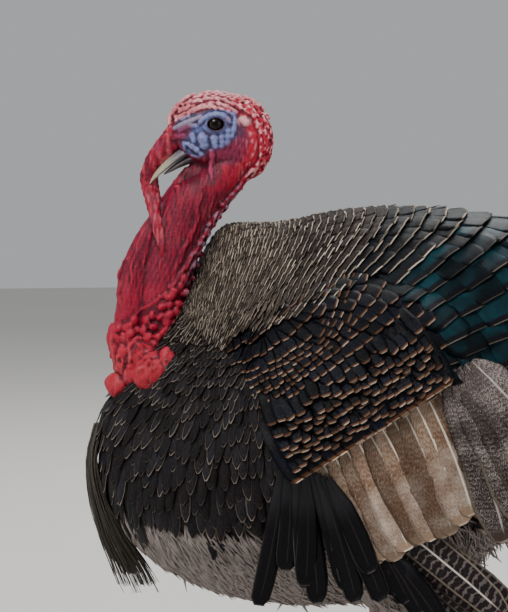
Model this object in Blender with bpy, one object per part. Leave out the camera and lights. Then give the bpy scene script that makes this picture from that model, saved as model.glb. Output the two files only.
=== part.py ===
"""A domestic turkey tom in a half strut, life size: the body's named parts as separate solids.

Metres, +Z up. The bird looks along -X and its left side is -Y. Stations are written in the bird's
own frame, whose x = 0 is at the shoulder joint, and the parent empty carries it to the middle.
"""

import math
import random

import bmesh
import bpy
from mathutils import Vector
from mathutils.bvhtree import BVHTree

# Whole bird
GAP = 0.0003
MIDDLE_X = 0.239
SIDES = (("left", -1), ("right", 1))
DRAW = random.Random(11)
FLAT_ANGLE = math.radians(1.2)

# Torso: top x, top z, bottom x, bottom z, half width of ovals that fan out from neck to vent
TORSO_STATIONS = (
    (-0.076, 0.556, -0.150, 0.387, 0.034),
    (-0.062, 0.557, -0.183, 0.393, 0.040),
    (-0.042, 0.553, -0.193, 0.345, 0.061),
    (-0.012, 0.553, -0.184, 0.289, 0.106),
    (0.028, 0.562, -0.152, 0.245, 0.141),
    (0.074, 0.567, -0.098, 0.211, 0.158),
    (0.122, 0.567, -0.036, 0.196, 0.162),
    (0.170, 0.562, 0.034, 0.192, 0.160),
    (0.214, 0.552, 0.102, 0.204, 0.148),
    (0.250, 0.539, 0.164, 0.236, 0.127),
    (0.280, 0.523, 0.217, 0.284, 0.100),
    (0.302, 0.508, 0.262, 0.345, 0.070),
    (0.318, 0.496, 0.295, 0.405, 0.040),
)
TORSO_RINGS = 21
TORSO_SIDES = 20

# Bare neck: back x, back z, throat x, throat z, half width
NECK_STATIONS = (
    (-0.112, 0.410, -0.160, 0.402, 0.030),
    (-0.104, 0.455, -0.155, 0.448, 0.029),
    (-0.099, 0.500, -0.150, 0.505, 0.028),
    (-0.091, 0.532, -0.138, 0.548, 0.027),
    (-0.077, 0.557, -0.122, 0.583, 0.026),
    (-0.056, 0.583, -0.096, 0.597, 0.025),
    (-0.042, 0.598, -0.078, 0.612, 0.022),
)
NECK_RINGS = 12
NECK_SIDES = 12
# Folds of skin down each side of the neck: distance from its back as a turn, half width
NECK_FOLDS = ((40, 0.0034), (92, 0.0032))
# Caruncles in two rows down the back of the neck
NAPE_BULBS = 8
NAPE_BULB_RADIUS = 0.0064

# Head: top x, top z, bottom x, bottom z, half width, from the beak's root to the nape
HEAD_STATIONS = (
    (-0.121, 0.637, -0.110, 0.612, 0.0080),
    (-0.116, 0.650, -0.100, 0.604, 0.0150),
    (-0.104, 0.665, -0.088, 0.597, 0.0205),
    (-0.086, 0.673, -0.074, 0.590, 0.0240),
    (-0.066, 0.671, -0.061, 0.586, 0.0262),
    (-0.046, 0.667, -0.048, 0.588, 0.0262),
    (-0.032, 0.652, -0.036, 0.596, 0.0225),
    (-0.0255, 0.636, -0.028, 0.611, 0.0120),
)
HEAD_RINGS = 12
HEAD_SIDES = 14
# Caruncles on the crown and nape: rows of bulbs across the head
CROWN_ROWS = 4
CROWN_BULB_RADIUS = 0.0070
EYE_X = -0.0795
EYE_Z = 0.6425
EYE_RADIUS = 0.0085
EYE_DEPTH = 0.0165

# Beak halves: middle x, middle z, half height, half width
UPPER_BEAK_STATIONS = (
    (-0.096, 0.6215, 0.0080, 0.0098),
    (-0.110, 0.6150, 0.0082, 0.0095),
    (-0.121, 0.6075, 0.0072, 0.0080),
    (-0.130, 0.5995, 0.0052, 0.0058),
    (-0.1365, 0.5925, 0.0030, 0.0034),
    (-0.1390, 0.5880, 0.0010, 0.0012),
)
LOWER_BEAK_STATIONS = (
    (-0.092, 0.6060, 0.0044, 0.0092),
    (-0.105, 0.6005, 0.0044, 0.0086),
    (-0.116, 0.5950, 0.0036, 0.0066),
    (-0.1245, 0.5900, 0.0024, 0.0042),
    (-0.1290, 0.5868, 0.0008, 0.0012),
)
BEAK_RINGS = 7
BEAK_SIDES = 10

# Snood: middle x, y, z and half width, from the forehead over the beak to its tip
SNOOD_STATIONS = (
    (-0.114, 0.0000, 0.6400, 0.0080),
    (-0.124, -0.0010, 0.6270, 0.0078),
    (-0.1335, -0.0030, 0.6130, 0.0074),
    (-0.1410, -0.0060, 0.5980, 0.0070),
    (-0.1425, -0.0120, 0.5800, 0.0064),
    (-0.1400, -0.0200, 0.5600, 0.0054),
    (-0.1370, -0.0250, 0.5400, 0.0042),
    (-0.1345, -0.0260, 0.5235, 0.0022),
)
SNOOD_RINGS = 15
SNOOD_SIDES = 7
SNOOD_WRINKLE = 0.0005

# Dewlap: back x, back z, front x, front z, half width
DEWLAP_STATIONS = (
    (-0.102, 0.600, -0.112, 0.5980, 0.0040),
    (-0.108, 0.588, -0.1240, 0.5800, 0.0075),
    (-0.120, 0.568, -0.1390, 0.5600, 0.0100),
    (-0.134, 0.540, -0.1580, 0.5330, 0.0120),
    (-0.142, 0.508, -0.1690, 0.5020, 0.0130),
    (-0.145, 0.478, -0.1720, 0.4740, 0.0140),
    (-0.146, 0.450, -0.1770, 0.4460, 0.0150),
    (-0.148, 0.428, -0.1700, 0.4240, 0.0120),
)
DEWLAP_RINGS = 12
DEWLAP_SIDES = 16
DEWLAP_FOLD = 0.0022
DEWLAP_FOLDS = 4

# Major caruncles at the foot of the neck: x, distance from the mid plane, z and radius
CARUNCLE_CORE = (-0.150, 0.0, 0.422, 0.022)
CARUNCLE_BULBS = (
    (-0.1690, 0.0080, 0.3990, 0.0125),
    (-0.1450, 0.0500, 0.4130, 0.0180),
    (-0.1310, 0.0560, 0.4250, 0.0140),
    (-0.1590, 0.0290, 0.4130, 0.0150),
    (-0.1745, 0.0080, 0.4240, 0.0105),
    (-0.1520, 0.0370, 0.4330, 0.0130),
    (-0.1690, 0.0180, 0.4390, 0.0105),
    (-0.1420, 0.0370, 0.4510, 0.0100),
    (-0.1600, 0.0220, 0.4560, 0.0090),
)

# Beard: middle x, z, half thickness and half width; locks hang side by side in layers
BEARD_STATIONS = (
    (-0.1900, 0.3620, 0.0025, 0.004),
    (-0.2005, 0.3350, 0.0020, 0.008),
    (-0.1975, 0.3000, 0.0045, 0.012),
    (-0.1840, 0.2640, 0.0110, 0.016),
    (-0.1650, 0.2320, 0.0170, 0.020),
    (-0.1510, 0.2060, 0.0200, 0.023),
)
BEARD_LAYERS = 3
BEARD_LOCKS = 5
BEARD_LOCK_WIDTH = 0.0036
BEARD_LOCK_THICKNESS = 0.0015

# Wing in side view (x, z): bend of the wing, elbow and tip of the hand
WING_WRIST = (-0.015, 0.350)
WING_ELBOW = (0.115, 0.430)
WING_HAND = (0.055, 0.252)
WING_OUTLINE = (
    (-0.068, 0.440), (-0.046, 0.370), (-0.022, 0.320), (0.020, 0.262), (0.060, 0.232),
    (0.078, 0.250), (0.062, 0.318), (0.120, 0.384), (0.148, 0.430), (0.100, 0.466),
    (0.000, 0.480),
)
WING_DEPTH = 0.009
FLIGHT_SHEET = 0.158
# Feather rows of a wing: line they grow along, inset, count, first and last length, width,
# first and last heading below the level in degrees, lift over the body, step of lift, roll
WING_TIERS = (
    ("primary", "hand", 0.000, 6, 0.232, 0.285, 0.031, 32, 43, 0.0105, -0.0013, 0.0000),
    ("primary_covert", "knuckles", 0.006, 3, 0.080, 0.075, 0.028, 50, 46, 0.0120, 0.0, 0.0006),
    ("alula", "thumb", 0.002, 2, 0.066, 0.052, 0.016, 64, 57, 0.0125, 0.0015, 0.0),
    ("secondary", "arm", 0.000, 8, 0.150, 0.172, 0.042, 57, 66, 0.0145, 0.0, 0.0024),
    ("tertial", "elbow", 0.000, 2, 0.150, 0.135, 0.036, 58, 52, 0.0180, 0.0015, 0.0010),
    ("greater_covert", "arm", 0.012, 7, 0.078, 0.084, 0.036, 58, 66, 0.0200, 0.0, 0.0018),
    ("median_covert", "arm", 0.026, 5, 0.062, 0.064, 0.036, 58, 64, 0.0245, 0.0, 0.0017),
    ("lesser_covert", "arm", 0.042, 4, 0.054, 0.054, 0.035, 56, 62, 0.0285, 0.0, 0.0015),
)
VANE_THICKNESS = 0.0009

# Tail: root x and z, droop, spread to each side, sideways arch
TAIL_ROOT = (0.335, 0.452)
TAIL_DROOP = math.radians(11)
TAIL_SPREAD = math.radians(30)
TAIL_ARCH = 0.35
# Feather rows of the tail: count, length, width, rise at root and tip, drop of the outer ones
TAIL_TIERS = (
    (14, 0.345, 0.056, 0.0040, 0.0040, 0.0150),
    (8, 0.180, 0.058, 0.0170, 0.0100, 0.0120),
    (6, 0.120, 0.060, 0.0260, 0.0165, 0.0110),
    (6, 0.140, 0.056, -0.0170, -0.0150, 0.0060),
)

# Legs
HIP_Y = 0.082
THIGH_TOP = (0.055, 0.255)
HOCK = (0.100, 0.178)
ANKLE = (0.070, 0.030)
THIGH_RADIUS = 0.042
HOCK_RADIUS = 0.0150
SHANK_RADIUS = 0.0092
FOOT_RADIUS = 0.0125
SCUTES = 9
SCUTE_RISE = 0.0011
SHANK_SIDES = 9
TOE_RADIUS = 0.0085
TOE_SCUTE = 0.0006
TOES = (
    ("inner", 38, 0.072),
    ("middle", 0, 0.094),
    ("outer", -38, 0.076),
    ("hind", 180, 0.036),
)
CLAW_LENGTH = 0.018
SPUR_LENGTH = 0.020

# Finishes: colour, roughness
FINISHES = {
    "feather_dark": ((0.035, 0.030, 0.027), 0.55),
    "feather_barred": ((0.16, 0.13, 0.10), 0.60),
    "skin_red": ((0.55, 0.03, 0.04), 0.45),
    "skin_blue": ((0.42, 0.33, 0.42), 0.50),
    "horn": ((0.42, 0.38, 0.28), 0.40),
    "leg_scale": ((0.40, 0.22, 0.19), 0.50),
    "eye": ((0.02, 0.012, 0.01), 0.08),
    "beard": ((0.02, 0.017, 0.015), 0.50),
}


def clear_scene():
    for old in list(bpy.data.objects):
        bpy.data.objects.remove(old, do_unlink=True)


def finish_material(name):
    material = bpy.data.materials.get(name)
    if material is None:
        material = bpy.data.materials.new(name)
        material.use_nodes = True
        shader = material.node_tree.nodes["Principled BSDF"]
        colour, roughness = FINISHES[name]
        shader.inputs["Base Color"].default_value = (*colour, 1.0)
        shader.inputs["Roughness"].default_value = roughness
        shader.inputs["Metallic"].default_value = 0.0
    return material


def new_collection(name):
    collection = bpy.data.collections.new(name)
    bpy.context.scene.collection.children.link(collection)
    return collection


def add_object(name, mesh, collection, finish):
    obj = bpy.data.objects.new(name, mesh)
    collection.objects.link(obj)
    if finish:
        mesh.materials.clear()
        mesh.materials.append(finish_material(finish))
    return obj


def between(stations, count):
    """Evenly read stations on a smooth curve through the given ones."""
    rows = [Vector(row) for row in stations]
    last = len(rows) - 1
    found = []
    for step in range(count):
        place = step * last / (count - 1)
        index = min(int(place), last - 1)
        t = place - index
        before = rows[max(index - 1, 0)]
        start = rows[index]
        end = rows[index + 1]
        after = rows[min(index + 2, last)]
        found.append(
            0.5 * (2 * start + (end - before) * t
                   + (2 * before - 5 * start + 4 * end - after) * t ** 2
                   + (3 * start - before - 3 * end + after) * t ** 3)
        )
    return found


def oval(top, bottom, half_width, sides, square=2.0, low=0.0):
    """Points round an oval that stands in the mid plane; low moves its widest place down."""
    centre = (top + bottom) / 2
    up = (top - bottom) / 2
    points = []
    for step in range(sides):
        angle = math.tau * step / sides
        rise = math.copysign(abs(math.cos(angle)) ** (2 / square), math.cos(angle))
        out = math.copysign(abs(math.sin(angle)) ** (2 / square), math.sin(angle))
        points.append(centre + up * (rise - low * out * out) + Vector((0, half_width * out, 0)))
    return points


def loft(name, rings, collection, finish, caps=(0.0, 0.0)):
    """One closed body through rings of equal count, with a pole on each end ring."""
    work = bmesh.new()
    verts = [[work.verts.new(point) for point in ring] for ring in rings]
    sides = len(rings[0])
    for low, high in zip(verts, verts[1:]):
        for step in range(sides):
            after = (step + 1) % sides
            work.faces.new((low[step], low[after], high[after], high[step]))
    for ring, inner, bulge in ((verts[0], verts[1], caps[0]), (verts[-1], verts[-2], caps[1])):
        centre = sum((vert.co for vert in ring), Vector()) / sides
        away = centre - sum((vert.co for vert in inner), Vector()) / sides
        pole = work.verts.new(centre + away.normalized() * bulge)
        for step in range(sides):
            work.faces.new((ring[step], ring[(step + 1) % sides], pole))
    bmesh.ops.recalc_face_normals(work, faces=work.faces)
    bmesh.ops.triangulate(work, faces=work.faces)
    mesh = bpy.data.meshes.new(name)
    work.to_mesh(mesh)
    work.free()
    mesh.shade_smooth()
    return add_object(name, mesh, collection, finish)


def oval_loft(name, stations, count, sides, collection, finish, square=2.0, low=0.0, caps=(0, 0)):
    """A body whose stations give top x, top z, bottom x, bottom z and half width."""
    rings = []
    for top_x, top_z, low_x, low_z, half_width in between(stations, count):
        rings.append(oval(Vector((top_x, 0, top_z)), Vector((low_x, 0, low_z)),
                          half_width, sides, square, low))
    return loft(name, rings, collection, finish, caps)


def tube(name, centres, radii, sides, collection, finish, caps=(0, 0), across=(0, 1, 0), flat=1.0):
    """A body round a bent middle line; flat scales it along its side direction."""
    rings = []
    last = len(centres) - 1
    for index, centre in enumerate(centres):
        along = (centres[min(index + 1, last)] - centres[max(index - 1, 0)]).normalized()
        side = Vector(across)
        side = (side - along * side.dot(along)).normalized()
        up = along.cross(side)
        ring = []
        for step in range(sides):
            angle = math.tau * step / sides
            ring.append(centre + radii[index] * (side * math.cos(angle) * flat
                                                 + up * math.sin(angle)))
        rings.append(ring)
    return loft(name, rings, collection, finish, caps)


def evaluated_mesh(obj):
    graph = bpy.context.evaluated_depsgraph_get()
    return bpy.data.meshes.new_from_object(obj.evaluated_get(graph))


def keep_largest(mesh):
    """Leaves only the largest closed surface of a mesh, in triangles."""
    work = bmesh.new()
    work.from_mesh(mesh)
    bmesh.ops.remove_doubles(work, verts=work.verts, dist=0.000002)
    bmesh.ops.dissolve_degenerate(work, edges=work.edges, dist=0.000002)
    bmesh.ops.triangulate(work, faces=work.faces)
    unseen = set(work.faces)
    islands = []
    while unseen:
        start = unseen.pop()
        island = [start]
        queue = [start]
        while queue:
            for edge in queue.pop().edges:
                for face in edge.link_faces:
                    if face in unseen:
                        unseen.discard(face)
                        island.append(face)
                        queue.append(face)
        islands.append(island)
    islands.sort(key=lambda faces: sum(face.calc_area() for face in faces))
    loose = [face for faces in islands[:-1] for face in faces]
    bmesh.ops.delete(work, geom=loose, context="FACES")
    bmesh.ops.dissolve_limit(work, angle_limit=FLAT_ANGLE, verts=work.verts, edges=work.edges)
    bmesh.ops.triangulate(work, faces=work.faces)
    work.to_mesh(mesh)
    work.free()


def combine(obj, others, operation):
    """Joins or cuts an object by a collection of others, applies it and removes them."""
    group = new_collection(obj.name + "_tools")
    for other in others:
        for home in list(other.users_collection):
            home.objects.unlink(other)
        group.objects.link(other)
        other.hide_render = True
        other.display_type = "WIRE"
    modifier = obj.modifiers.new(operation.title(), "BOOLEAN")
    modifier.operation = operation
    modifier.operand_type = "COLLECTION"
    modifier.collection = group
    modifier.solver = "MANIFOLD"
    mesh = evaluated_mesh(obj)
    obj.modifiers.clear()
    obj.data = mesh
    keep_largest(mesh)
    mesh.shade_smooth()
    for other in others:
        bpy.data.objects.remove(other, do_unlink=True)
    bpy.data.collections.remove(group)


def grown(obj, collection, distance=GAP):
    """A copy of a body whose surface is moved outwards by a distance."""
    work = bmesh.new()
    work.from_mesh(obj.data)
    bmesh.ops.recalc_face_normals(work, faces=work.faces)
    work.normal_update()
    moves = []
    for vert in work.verts:
        normal = vert.normal
        least = min(max(face.normal.dot(normal), 0.35) for face in vert.link_faces)
        moves.append(vert.co + normal * (distance / least))
    for vert, place in zip(work.verts, moves):
        vert.co = place
    mesh = bpy.data.meshes.new(obj.name + "_grown")
    work.to_mesh(mesh)
    work.free()
    return add_object(mesh.name, mesh, collection, None)


def cut_clear(obj, neighbours, collection):
    """Cuts an object back to a small gap from each neighbour."""
    combine(obj, [grown(other, collection) for other in neighbours], "DIFFERENCE")


class Drape:
    """The surface that the wings lie on: the torso's side, carried on below and behind it."""

    def __init__(self, torso):
        work = bmesh.new()
        work.from_mesh(torso.data)
        self.tree = BVHTree.FromBMesh(work)
        work.free()

    def half_width(self, x, z):
        sheet = FLIGHT_SHEET - 0.30 * max(0.0, x - 0.10) ** 2 - 0.05 * max(0.0, 0.34 - z)
        sheet -= 1.6 * max(0.0, z - 0.34) ** 2
        hit = self.tree.ray_cast(Vector((x, -1, z)), Vector((0, 1, 0)))[0]
        if hit is None:
            return sheet
        blend = 0.02
        overlap = max(blend - abs(sheet + hit.y), 0.0) / blend
        return max(sheet, -hit.y) + overlap * overlap * blend / 4


def build_torso(collection):
    return oval_loft("torso", TORSO_STATIONS, TORSO_RINGS, TORSO_SIDES, collection,
                     "feather_dark", square=2.15, low=0.10, caps=(0.001, 0.006))


def bulb(place, radius, collection, sides=7, rings=5, stretch=(1, 1, 1)):
    work = bmesh.new()
    bmesh.ops.create_uvsphere(work, u_segments=sides, v_segments=rings, radius=radius)
    for vert in work.verts:
        vert.co = Vector([vert.co[axis] * stretch[axis] for axis in range(3)]) + Vector(place)
    bmesh.ops.triangulate(work, faces=work.faces)
    mesh = bpy.data.meshes.new("bulb")
    work.to_mesh(mesh)
    work.free()
    return add_object("bulb", mesh, collection, None)


def around(row, turn, sign, inset):
    """A point on the skin of an oval station, turned from its top towards one side."""
    top = Vector((row[0], 0, row[1]))
    bottom = Vector((row[2], 0, row[3]))
    centre = (top + bottom) / 2
    up = (top - bottom) / 2
    angle = math.radians(turn)
    out = Vector((0, sign * row[4] * math.sin(angle), 0)) + up * math.cos(angle)
    return centre + out * (1 - inset / max(out.length, 0.001))


def build_neck(collection, torso, head):
    """Neck tube with long folds down its sides and caruncles down its back."""
    neck = oval_loft("neck", NECK_STATIONS, NECK_RINGS, NECK_SIDES, collection, "skin_red")
    rows = between(NECK_STATIONS, 6)
    pieces = []
    for side, sign in SIDES:
        for turn, width in NECK_FOLDS:
            centres = [around(row, turn, sign, 0.0012) for row in rows]
            pieces.append(tube("fold", centres, [width] * len(centres), 5, collection, None,
                               across=(1, 0, 0.3)))
        for step in range(NAPE_BULBS):
            place = between(NECK_STATIONS, NAPE_BULBS)[step]
            turn = 9 if step % 2 else 20
            size = NAPE_BULB_RADIUS * DRAW.uniform(0.8, 1.15)
            pieces.append(bulb(around(place, turn, sign, size * 0.25), size, collection, 6, 4))
    combine(neck, pieces, "UNION")
    cut_clear(neck, [torso, head], collection)
    return neck


def build_head(collection):
    return oval_loft("head", HEAD_STATIONS, HEAD_RINGS, HEAD_SIDES, collection, "skin_blue",
                     square=2.1, caps=(0.002, 0.002))


def crown_bulbs(collection):
    """Small caruncles over the crown and nape, from brow to brow."""
    pieces = []
    rows = between(HEAD_STATIONS, CROWN_ROWS + 3)[2:-1]
    for index, row in enumerate(rows):
        reach = 30 + 52 * index / (len(rows) - 1)
        count = 2 + index // 2
        for step in range(count):
            turn = reach * (step + 0.5 * (index % 2)) / (count - 0.5)
            size = CROWN_BULB_RADIUS * DRAW.uniform(0.8, 1.15)
            for _, sign in SIDES:
                place = around(row, turn, sign, size * 0.3)
                if turn > 0.1 or sign > 0:
                    pieces.append(bulb(place, size, collection, 6, 4, (1.25, 1, 0.9)))
    return pieces


def face_folds(collection):
    """Lids, brow ridge, lobe at the nostril and the strip that hangs behind the mouth."""
    pieces = []
    for _, sign in SIDES:
        lid = []
        for step in range(10):
            angle = math.tau * step / 10
            lid.append(Vector((EYE_X + 0.0084 * math.cos(angle),
                               sign * (EYE_DEPTH + 0.0048 - 0.0012 * abs(math.cos(angle))),
                               EYE_Z + 0.0066 * math.sin(angle))))
        pieces.append(ring_tube(lid, 0.0026, 5, collection))
        brow = [Vector((EYE_X + dx, sign * (EYE_DEPTH + dy), EYE_Z + dz)) for dx, dy, dz in
                ((-0.030, -0.007, -0.004), (-0.018, -0.001, 0.004), (-0.006, 0.003, 0.011),
                 (0.006, 0.005, 0.012), (0.014, 0.006, 0.004), (0.015, 0.006, -0.008))]
        pieces.append(tube("brow", brow, [0.002, 0.0034, 0.0038, 0.0036, 0.0032, 0.0022], 5,
                           collection, None, across=(0, 1, 0.2)))
        pieces.append(bulb((EYE_X - 0.0185, sign * 0.0135, EYE_Z - 0.0225), 0.0068, collection,
                           8, 5, (1.15, 0.8, 0.8)))
        strip = [Vector((EYE_X - 0.002 + 0.0008 * step, sign * (0.0222 + 0.0004 * step),
                         EYE_Z - 0.020 - 0.0045 * step)) for step in range(6)]
        pieces.append(tube("strip", strip, [0.0022, 0.0026, 0.0026, 0.0026, 0.0022, 0.0012], 5,
                           collection, None, across=(1, 0, 0)))
    return pieces


def ring_tube(points, radius, sides, collection):
    """A closed ring of round section through the given points."""
    work = bmesh.new()
    count = len(points)
    middle = sum(points, Vector()) / count
    rings = []
    for index, point in enumerate(points):
        along = (points[(index + 1) % count] - points[index - 1]).normalized()
        out = (point - middle).normalized()
        up = along.cross(out).normalized()
        ring = []
        for step in range(sides):
            angle = math.tau * step / sides
            ring.append(work.verts.new(point + (out * math.cos(angle) + up * math.sin(angle))
                                       * radius))
        rings.append(ring)
    for index in range(count):
        low, high = rings[index], rings[(index + 1) % count]
        for step in range(sides):
            after = (step + 1) % sides
            work.faces.new((low[step], low[after], high[after], high[step]))
    bmesh.ops.recalc_face_normals(work, faces=work.faces)
    bmesh.ops.triangulate(work, faces=work.faces)
    mesh = bpy.data.meshes.new("ring")
    work.to_mesh(mesh)
    work.free()
    return add_object("ring", mesh, collection, None)


def finish_head(collection, head):
    """Adds the folds and caruncles, and opens the ears."""
    combine(head, crown_bulbs(collection) + face_folds(collection), "UNION")
    pits = []
    for _, sign in SIDES:
        pits.append(bulb((EYE_X + 0.031, sign * 0.0275, EYE_Z - 0.009), 0.0034, collection, 6, 4))
    combine(head, pits, "DIFFERENCE")


def build_eyes(collection, head):
    sockets = []
    for side, sign in SIDES:
        bpy.ops.mesh.primitive_uv_sphere_add(segments=10, ring_count=7, radius=EYE_RADIUS,
                                             location=(EYE_X, sign * EYE_DEPTH, EYE_Z))
        ball = bpy.context.object
        mesh = ball.data.copy()
        mesh.transform(ball.matrix_world)
        bpy.data.objects.remove(ball, do_unlink=True)
        mesh.shade_smooth()
        eye = add_object("eye_" + side, mesh, collection, "eye")
        sockets.append(grown(eye, collection))
    combine(head, sockets, "DIFFERENCE")


def beak_half(name, stations, collection, neighbours, nostrils=False):
    centres = []
    rings = []
    rows = between(stations, BEAK_RINGS)
    for x, z, _, _ in rows:
        centres.append(Vector((x, 0, z)))
    last = len(rows) - 1
    for index, row in enumerate(rows):
        along = (centres[min(index + 1, last)] - centres[max(index - 1, 0)]).normalized()
        up = along.cross(Vector((0, 1, 0))) * row[2]
        rings.append(oval(centres[index] + up, centres[index] - up, row[3], BEAK_SIDES))
    beak = loft(name, rings, collection, "horn")
    if nostrils:
        slits = [bulb((-0.1105, sign * 0.0092, 0.6195), 0.0026, collection, 8, 5, (1.5, 0.7, 0.7))
                 for _, sign in SIDES]
        combine(beak, slits, "DIFFERENCE")
    cut_clear(beak, neighbours, collection)
    return beak


def build_beak(collection, head, neck):
    upper = beak_half("beak_upper", UPPER_BEAK_STATIONS, collection, [head], nostrils=True)
    lower = beak_half("beak_lower", LOWER_BEAK_STATIONS, collection, [head, upper, neck])
    return upper, lower


def build_snood(collection, neighbours):
    rows = between(SNOOD_STATIONS, SNOOD_RINGS)
    centres = [Vector(row[:3]) for row in rows]
    radii = [row[3] + SNOOD_WRINKLE * (-1) ** index for index, row in enumerate(rows)]
    snood = tube("snood", centres, radii, SNOOD_SIDES, collection, "skin_red",
                 caps=(0.001, 0.002))
    cut_clear(snood, neighbours, collection)
    return snood


def build_dewlap(collection, neighbours):
    """Hanging skin of the throat, with folds that run down both sides."""
    rings = []
    for row in between(DEWLAP_STATIONS, DEWLAP_RINGS):
        back = Vector((row[0], 0, row[1]))
        front = Vector((row[2], 0, row[3]))
        ring = oval(back, front, row[4], DEWLAP_SIDES, 2.3)
        fold = DEWLAP_FOLD * min(row[4] / 0.012, 1.0)
        for step, point in enumerate(ring):
            turn = math.cos(math.tau * step / DEWLAP_SIDES * DEWLAP_FOLDS * 2)
            point.y += math.copysign(fold * turn, point.y) if abs(point.y) > fold else 0.0
        rings.append(ring)
    dewlap = loft("dewlap", rings, collection, "skin_red")
    cut_clear(dewlap, neighbours, collection)
    return dewlap


def build_caruncles(collection, neighbours):
    """The swollen bulbs where the bare neck meets the breast."""
    core = bulb(CARUNCLE_CORE[:3], CARUNCLE_CORE[3], collection, 10, 6)
    core.name = "caruncles_base"
    core.data.materials.append(finish_material("skin_red"))
    bulbs = []
    for x, out, z, radius in CARUNCLE_BULBS:
        for _, sign in SIDES:
            size = radius * DRAW.uniform(0.95, 1.05)
            bulbs.append(bulb((x, sign * out, z), size, collection, 6, 4))
    combine(core, bulbs, "UNION")
    cut_clear(core, neighbours, collection)
    return core


def build_beard(collection, torso):
    """Flat tapered locks in layers that hang from a small knob on the breast."""
    knob_row = BEARD_STATIONS[0]
    beard = bulb((knob_row[0] + 0.002, 0, knob_row[1] - 0.006), 0.0085, collection, 10, 7,
                 (1.0, 1.0, 1.3))
    beard.name = "beard"
    beard.data.materials.append(finish_material("beard"))
    locks = []
    for layer in range(BEARD_LAYERS):
        depth = (layer / (BEARD_LAYERS - 1) - 0.5) * 2
        for index in range(BEARD_LOCKS):
            across = ((index + 0.5 * (layer % 2)) / (BEARD_LOCKS - 0.5) - 0.5) * 2
            length = DRAW.uniform(0.90, 1.08) - 0.08 * abs(across)
            turn = DRAW.uniform(-0.25, 0.25)
            rows = []
            for x, z, thick, wide in between(BEARD_STATIONS, 9)[:min(9, round(9 * length))][::2]:
                share = min(1.0, max(0.0, (BEARD_STATIONS[0][1] - z) / 0.15))
                middle = Vector((x + depth * thick, across * wide, z))
                half = BEARD_LOCK_WIDTH * (1 - 0.75 * share ** 2)
                side = Vector((math.sin(turn), math.cos(turn), 0)) * half
                rows.append((middle - side, middle + side))
            locks.append(blade("lock", rows, BEARD_LOCK_THICKNESS, collection, 0.45))
    combine(beard, locks, "UNION")
    cut_clear(beard, [torso], collection)
    return beard


def blade(name, rows, thickness, collection, tip_share=0.6):
    """A thin closed plate through rows of left and right points, split alike on both faces."""
    work = bmesh.new()
    last = len(rows) - 1
    upper = []
    lower = []
    for index, (left, right) in enumerate(rows):
        before = rows[max(index - 1, 0)]
        after = rows[min(index + 1, last)]
        along = (after[0] + after[1] - before[0] - before[1]).normalized()
        normal = along.cross(right - left).normalized()
        half = thickness / 2 * (1 - (1 - tip_share) * (index / last) ** 2)
        upper.append([work.verts.new(point + normal * half) for point in (left, right)])
        lower.append([work.verts.new(point - normal * half) for point in (left, right)])
    for index in range(last):
        for grid in (upper, lower):
            work.faces.new((grid[index][0], grid[index][1], grid[index + 1][1]))
            work.faces.new((grid[index][0], grid[index + 1][1], grid[index + 1][0]))
        for edge in (0, 1):
            work.faces.new((upper[index][edge], upper[index + 1][edge], lower[index + 1][edge]))
            work.faces.new((upper[index][edge], lower[index + 1][edge], lower[index][edge]))
    for index in (0, last):
        work.faces.new((upper[index][0], upper[index][1], lower[index][1]))
        work.faces.new((upper[index][0], lower[index][1], lower[index][0]))
    bmesh.ops.recalc_face_normals(work, faces=work.faces)
    mesh = bpy.data.meshes.new(name)
    work.to_mesh(mesh)
    work.free()
    return add_object(name, mesh, collection, None)


def plate(name, outline, drape, sign, depth, collection, finish, rings=5):
    """A pillow over the drape inside a side-view outline; its inner face is sunk in the body."""
    middle = sum((Vector(point) for point in outline), Vector((0, 0))) / len(outline)
    work = bmesh.new()
    levels = []
    for level in range(rings):
        share = math.cos(level / rings * math.pi / 2)
        row = []
        for point in outline:
            x, z = middle + (Vector(point) - middle) * share
            row.append((x, z, math.sin(level / rings * math.pi / 2)))
        levels.append(row)
    outer = []
    inner = []
    for row in levels:
        outer.append([work.verts.new((x, sign * (drape.half_width(x, z) + 0.003 + depth * rise), z))
                      for x, z, rise in row])
        inner.append([work.verts.new((x, sign * (drape.half_width(x, z) - 0.002), z))
                      for x, z, rise in row])
    x, z = middle
    outer_pole = work.verts.new((x, sign * (drape.half_width(x, z) + 0.003 + depth), z))
    inner_pole = work.verts.new((x, sign * (drape.half_width(x, z) - 0.002), z))
    count = len(outline)
    for face, pole in ((outer, outer_pole), (inner, inner_pole)):
        for low, high in zip(face, face[1:]):
            for step in range(count):
                after = (step + 1) % count
                work.faces.new((low[step], low[after], high[after]))
                work.faces.new((low[step], high[after], high[step]))
        for step in range(count):
            work.faces.new((face[-1][step], face[-1][(step + 1) % count], pole))
    for step in range(count):
        after = (step + 1) % count
        work.faces.new((outer[0][step], outer[0][after], inner[0][after]))
        work.faces.new((outer[0][step], inner[0][after], inner[0][step]))
    bmesh.ops.recalc_face_normals(work, faces=work.faces)
    mesh = bpy.data.meshes.new(name)
    work.to_mesh(mesh)
    work.free()
    mesh.shade_smooth()
    return add_object(name, mesh, collection, finish)


def smooth_outline(points, count):
    """Points round a closed smooth curve through the given corners."""
    rows = [Vector(point) for point in points]
    total = len(rows)
    found = []
    for step in range(count):
        place = step * total / count
        index = int(place)
        t = place - index
        before, start, end, after = (rows[(index + shift) % total] for shift in (-1, 0, 1, 2))
        found.append(
            0.5 * (2 * start + (end - before) * t
                   + (2 * before - 5 * start + 4 * end - after) * t ** 2
                   + (3 * start - before - 3 * end + after) * t ** 3)
        )
    return found


VANE_PROFILE = ((0.0, 0.24), (0.25, 0.80), (0.78, 0.97), (1.0, 0.30))
SHORT_VANE_PROFILE = ((0.0, 0.24), (0.26, 0.80), (0.80, 0.96), (1.0, 0.34))
LONG_VANE = 0.10


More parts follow.
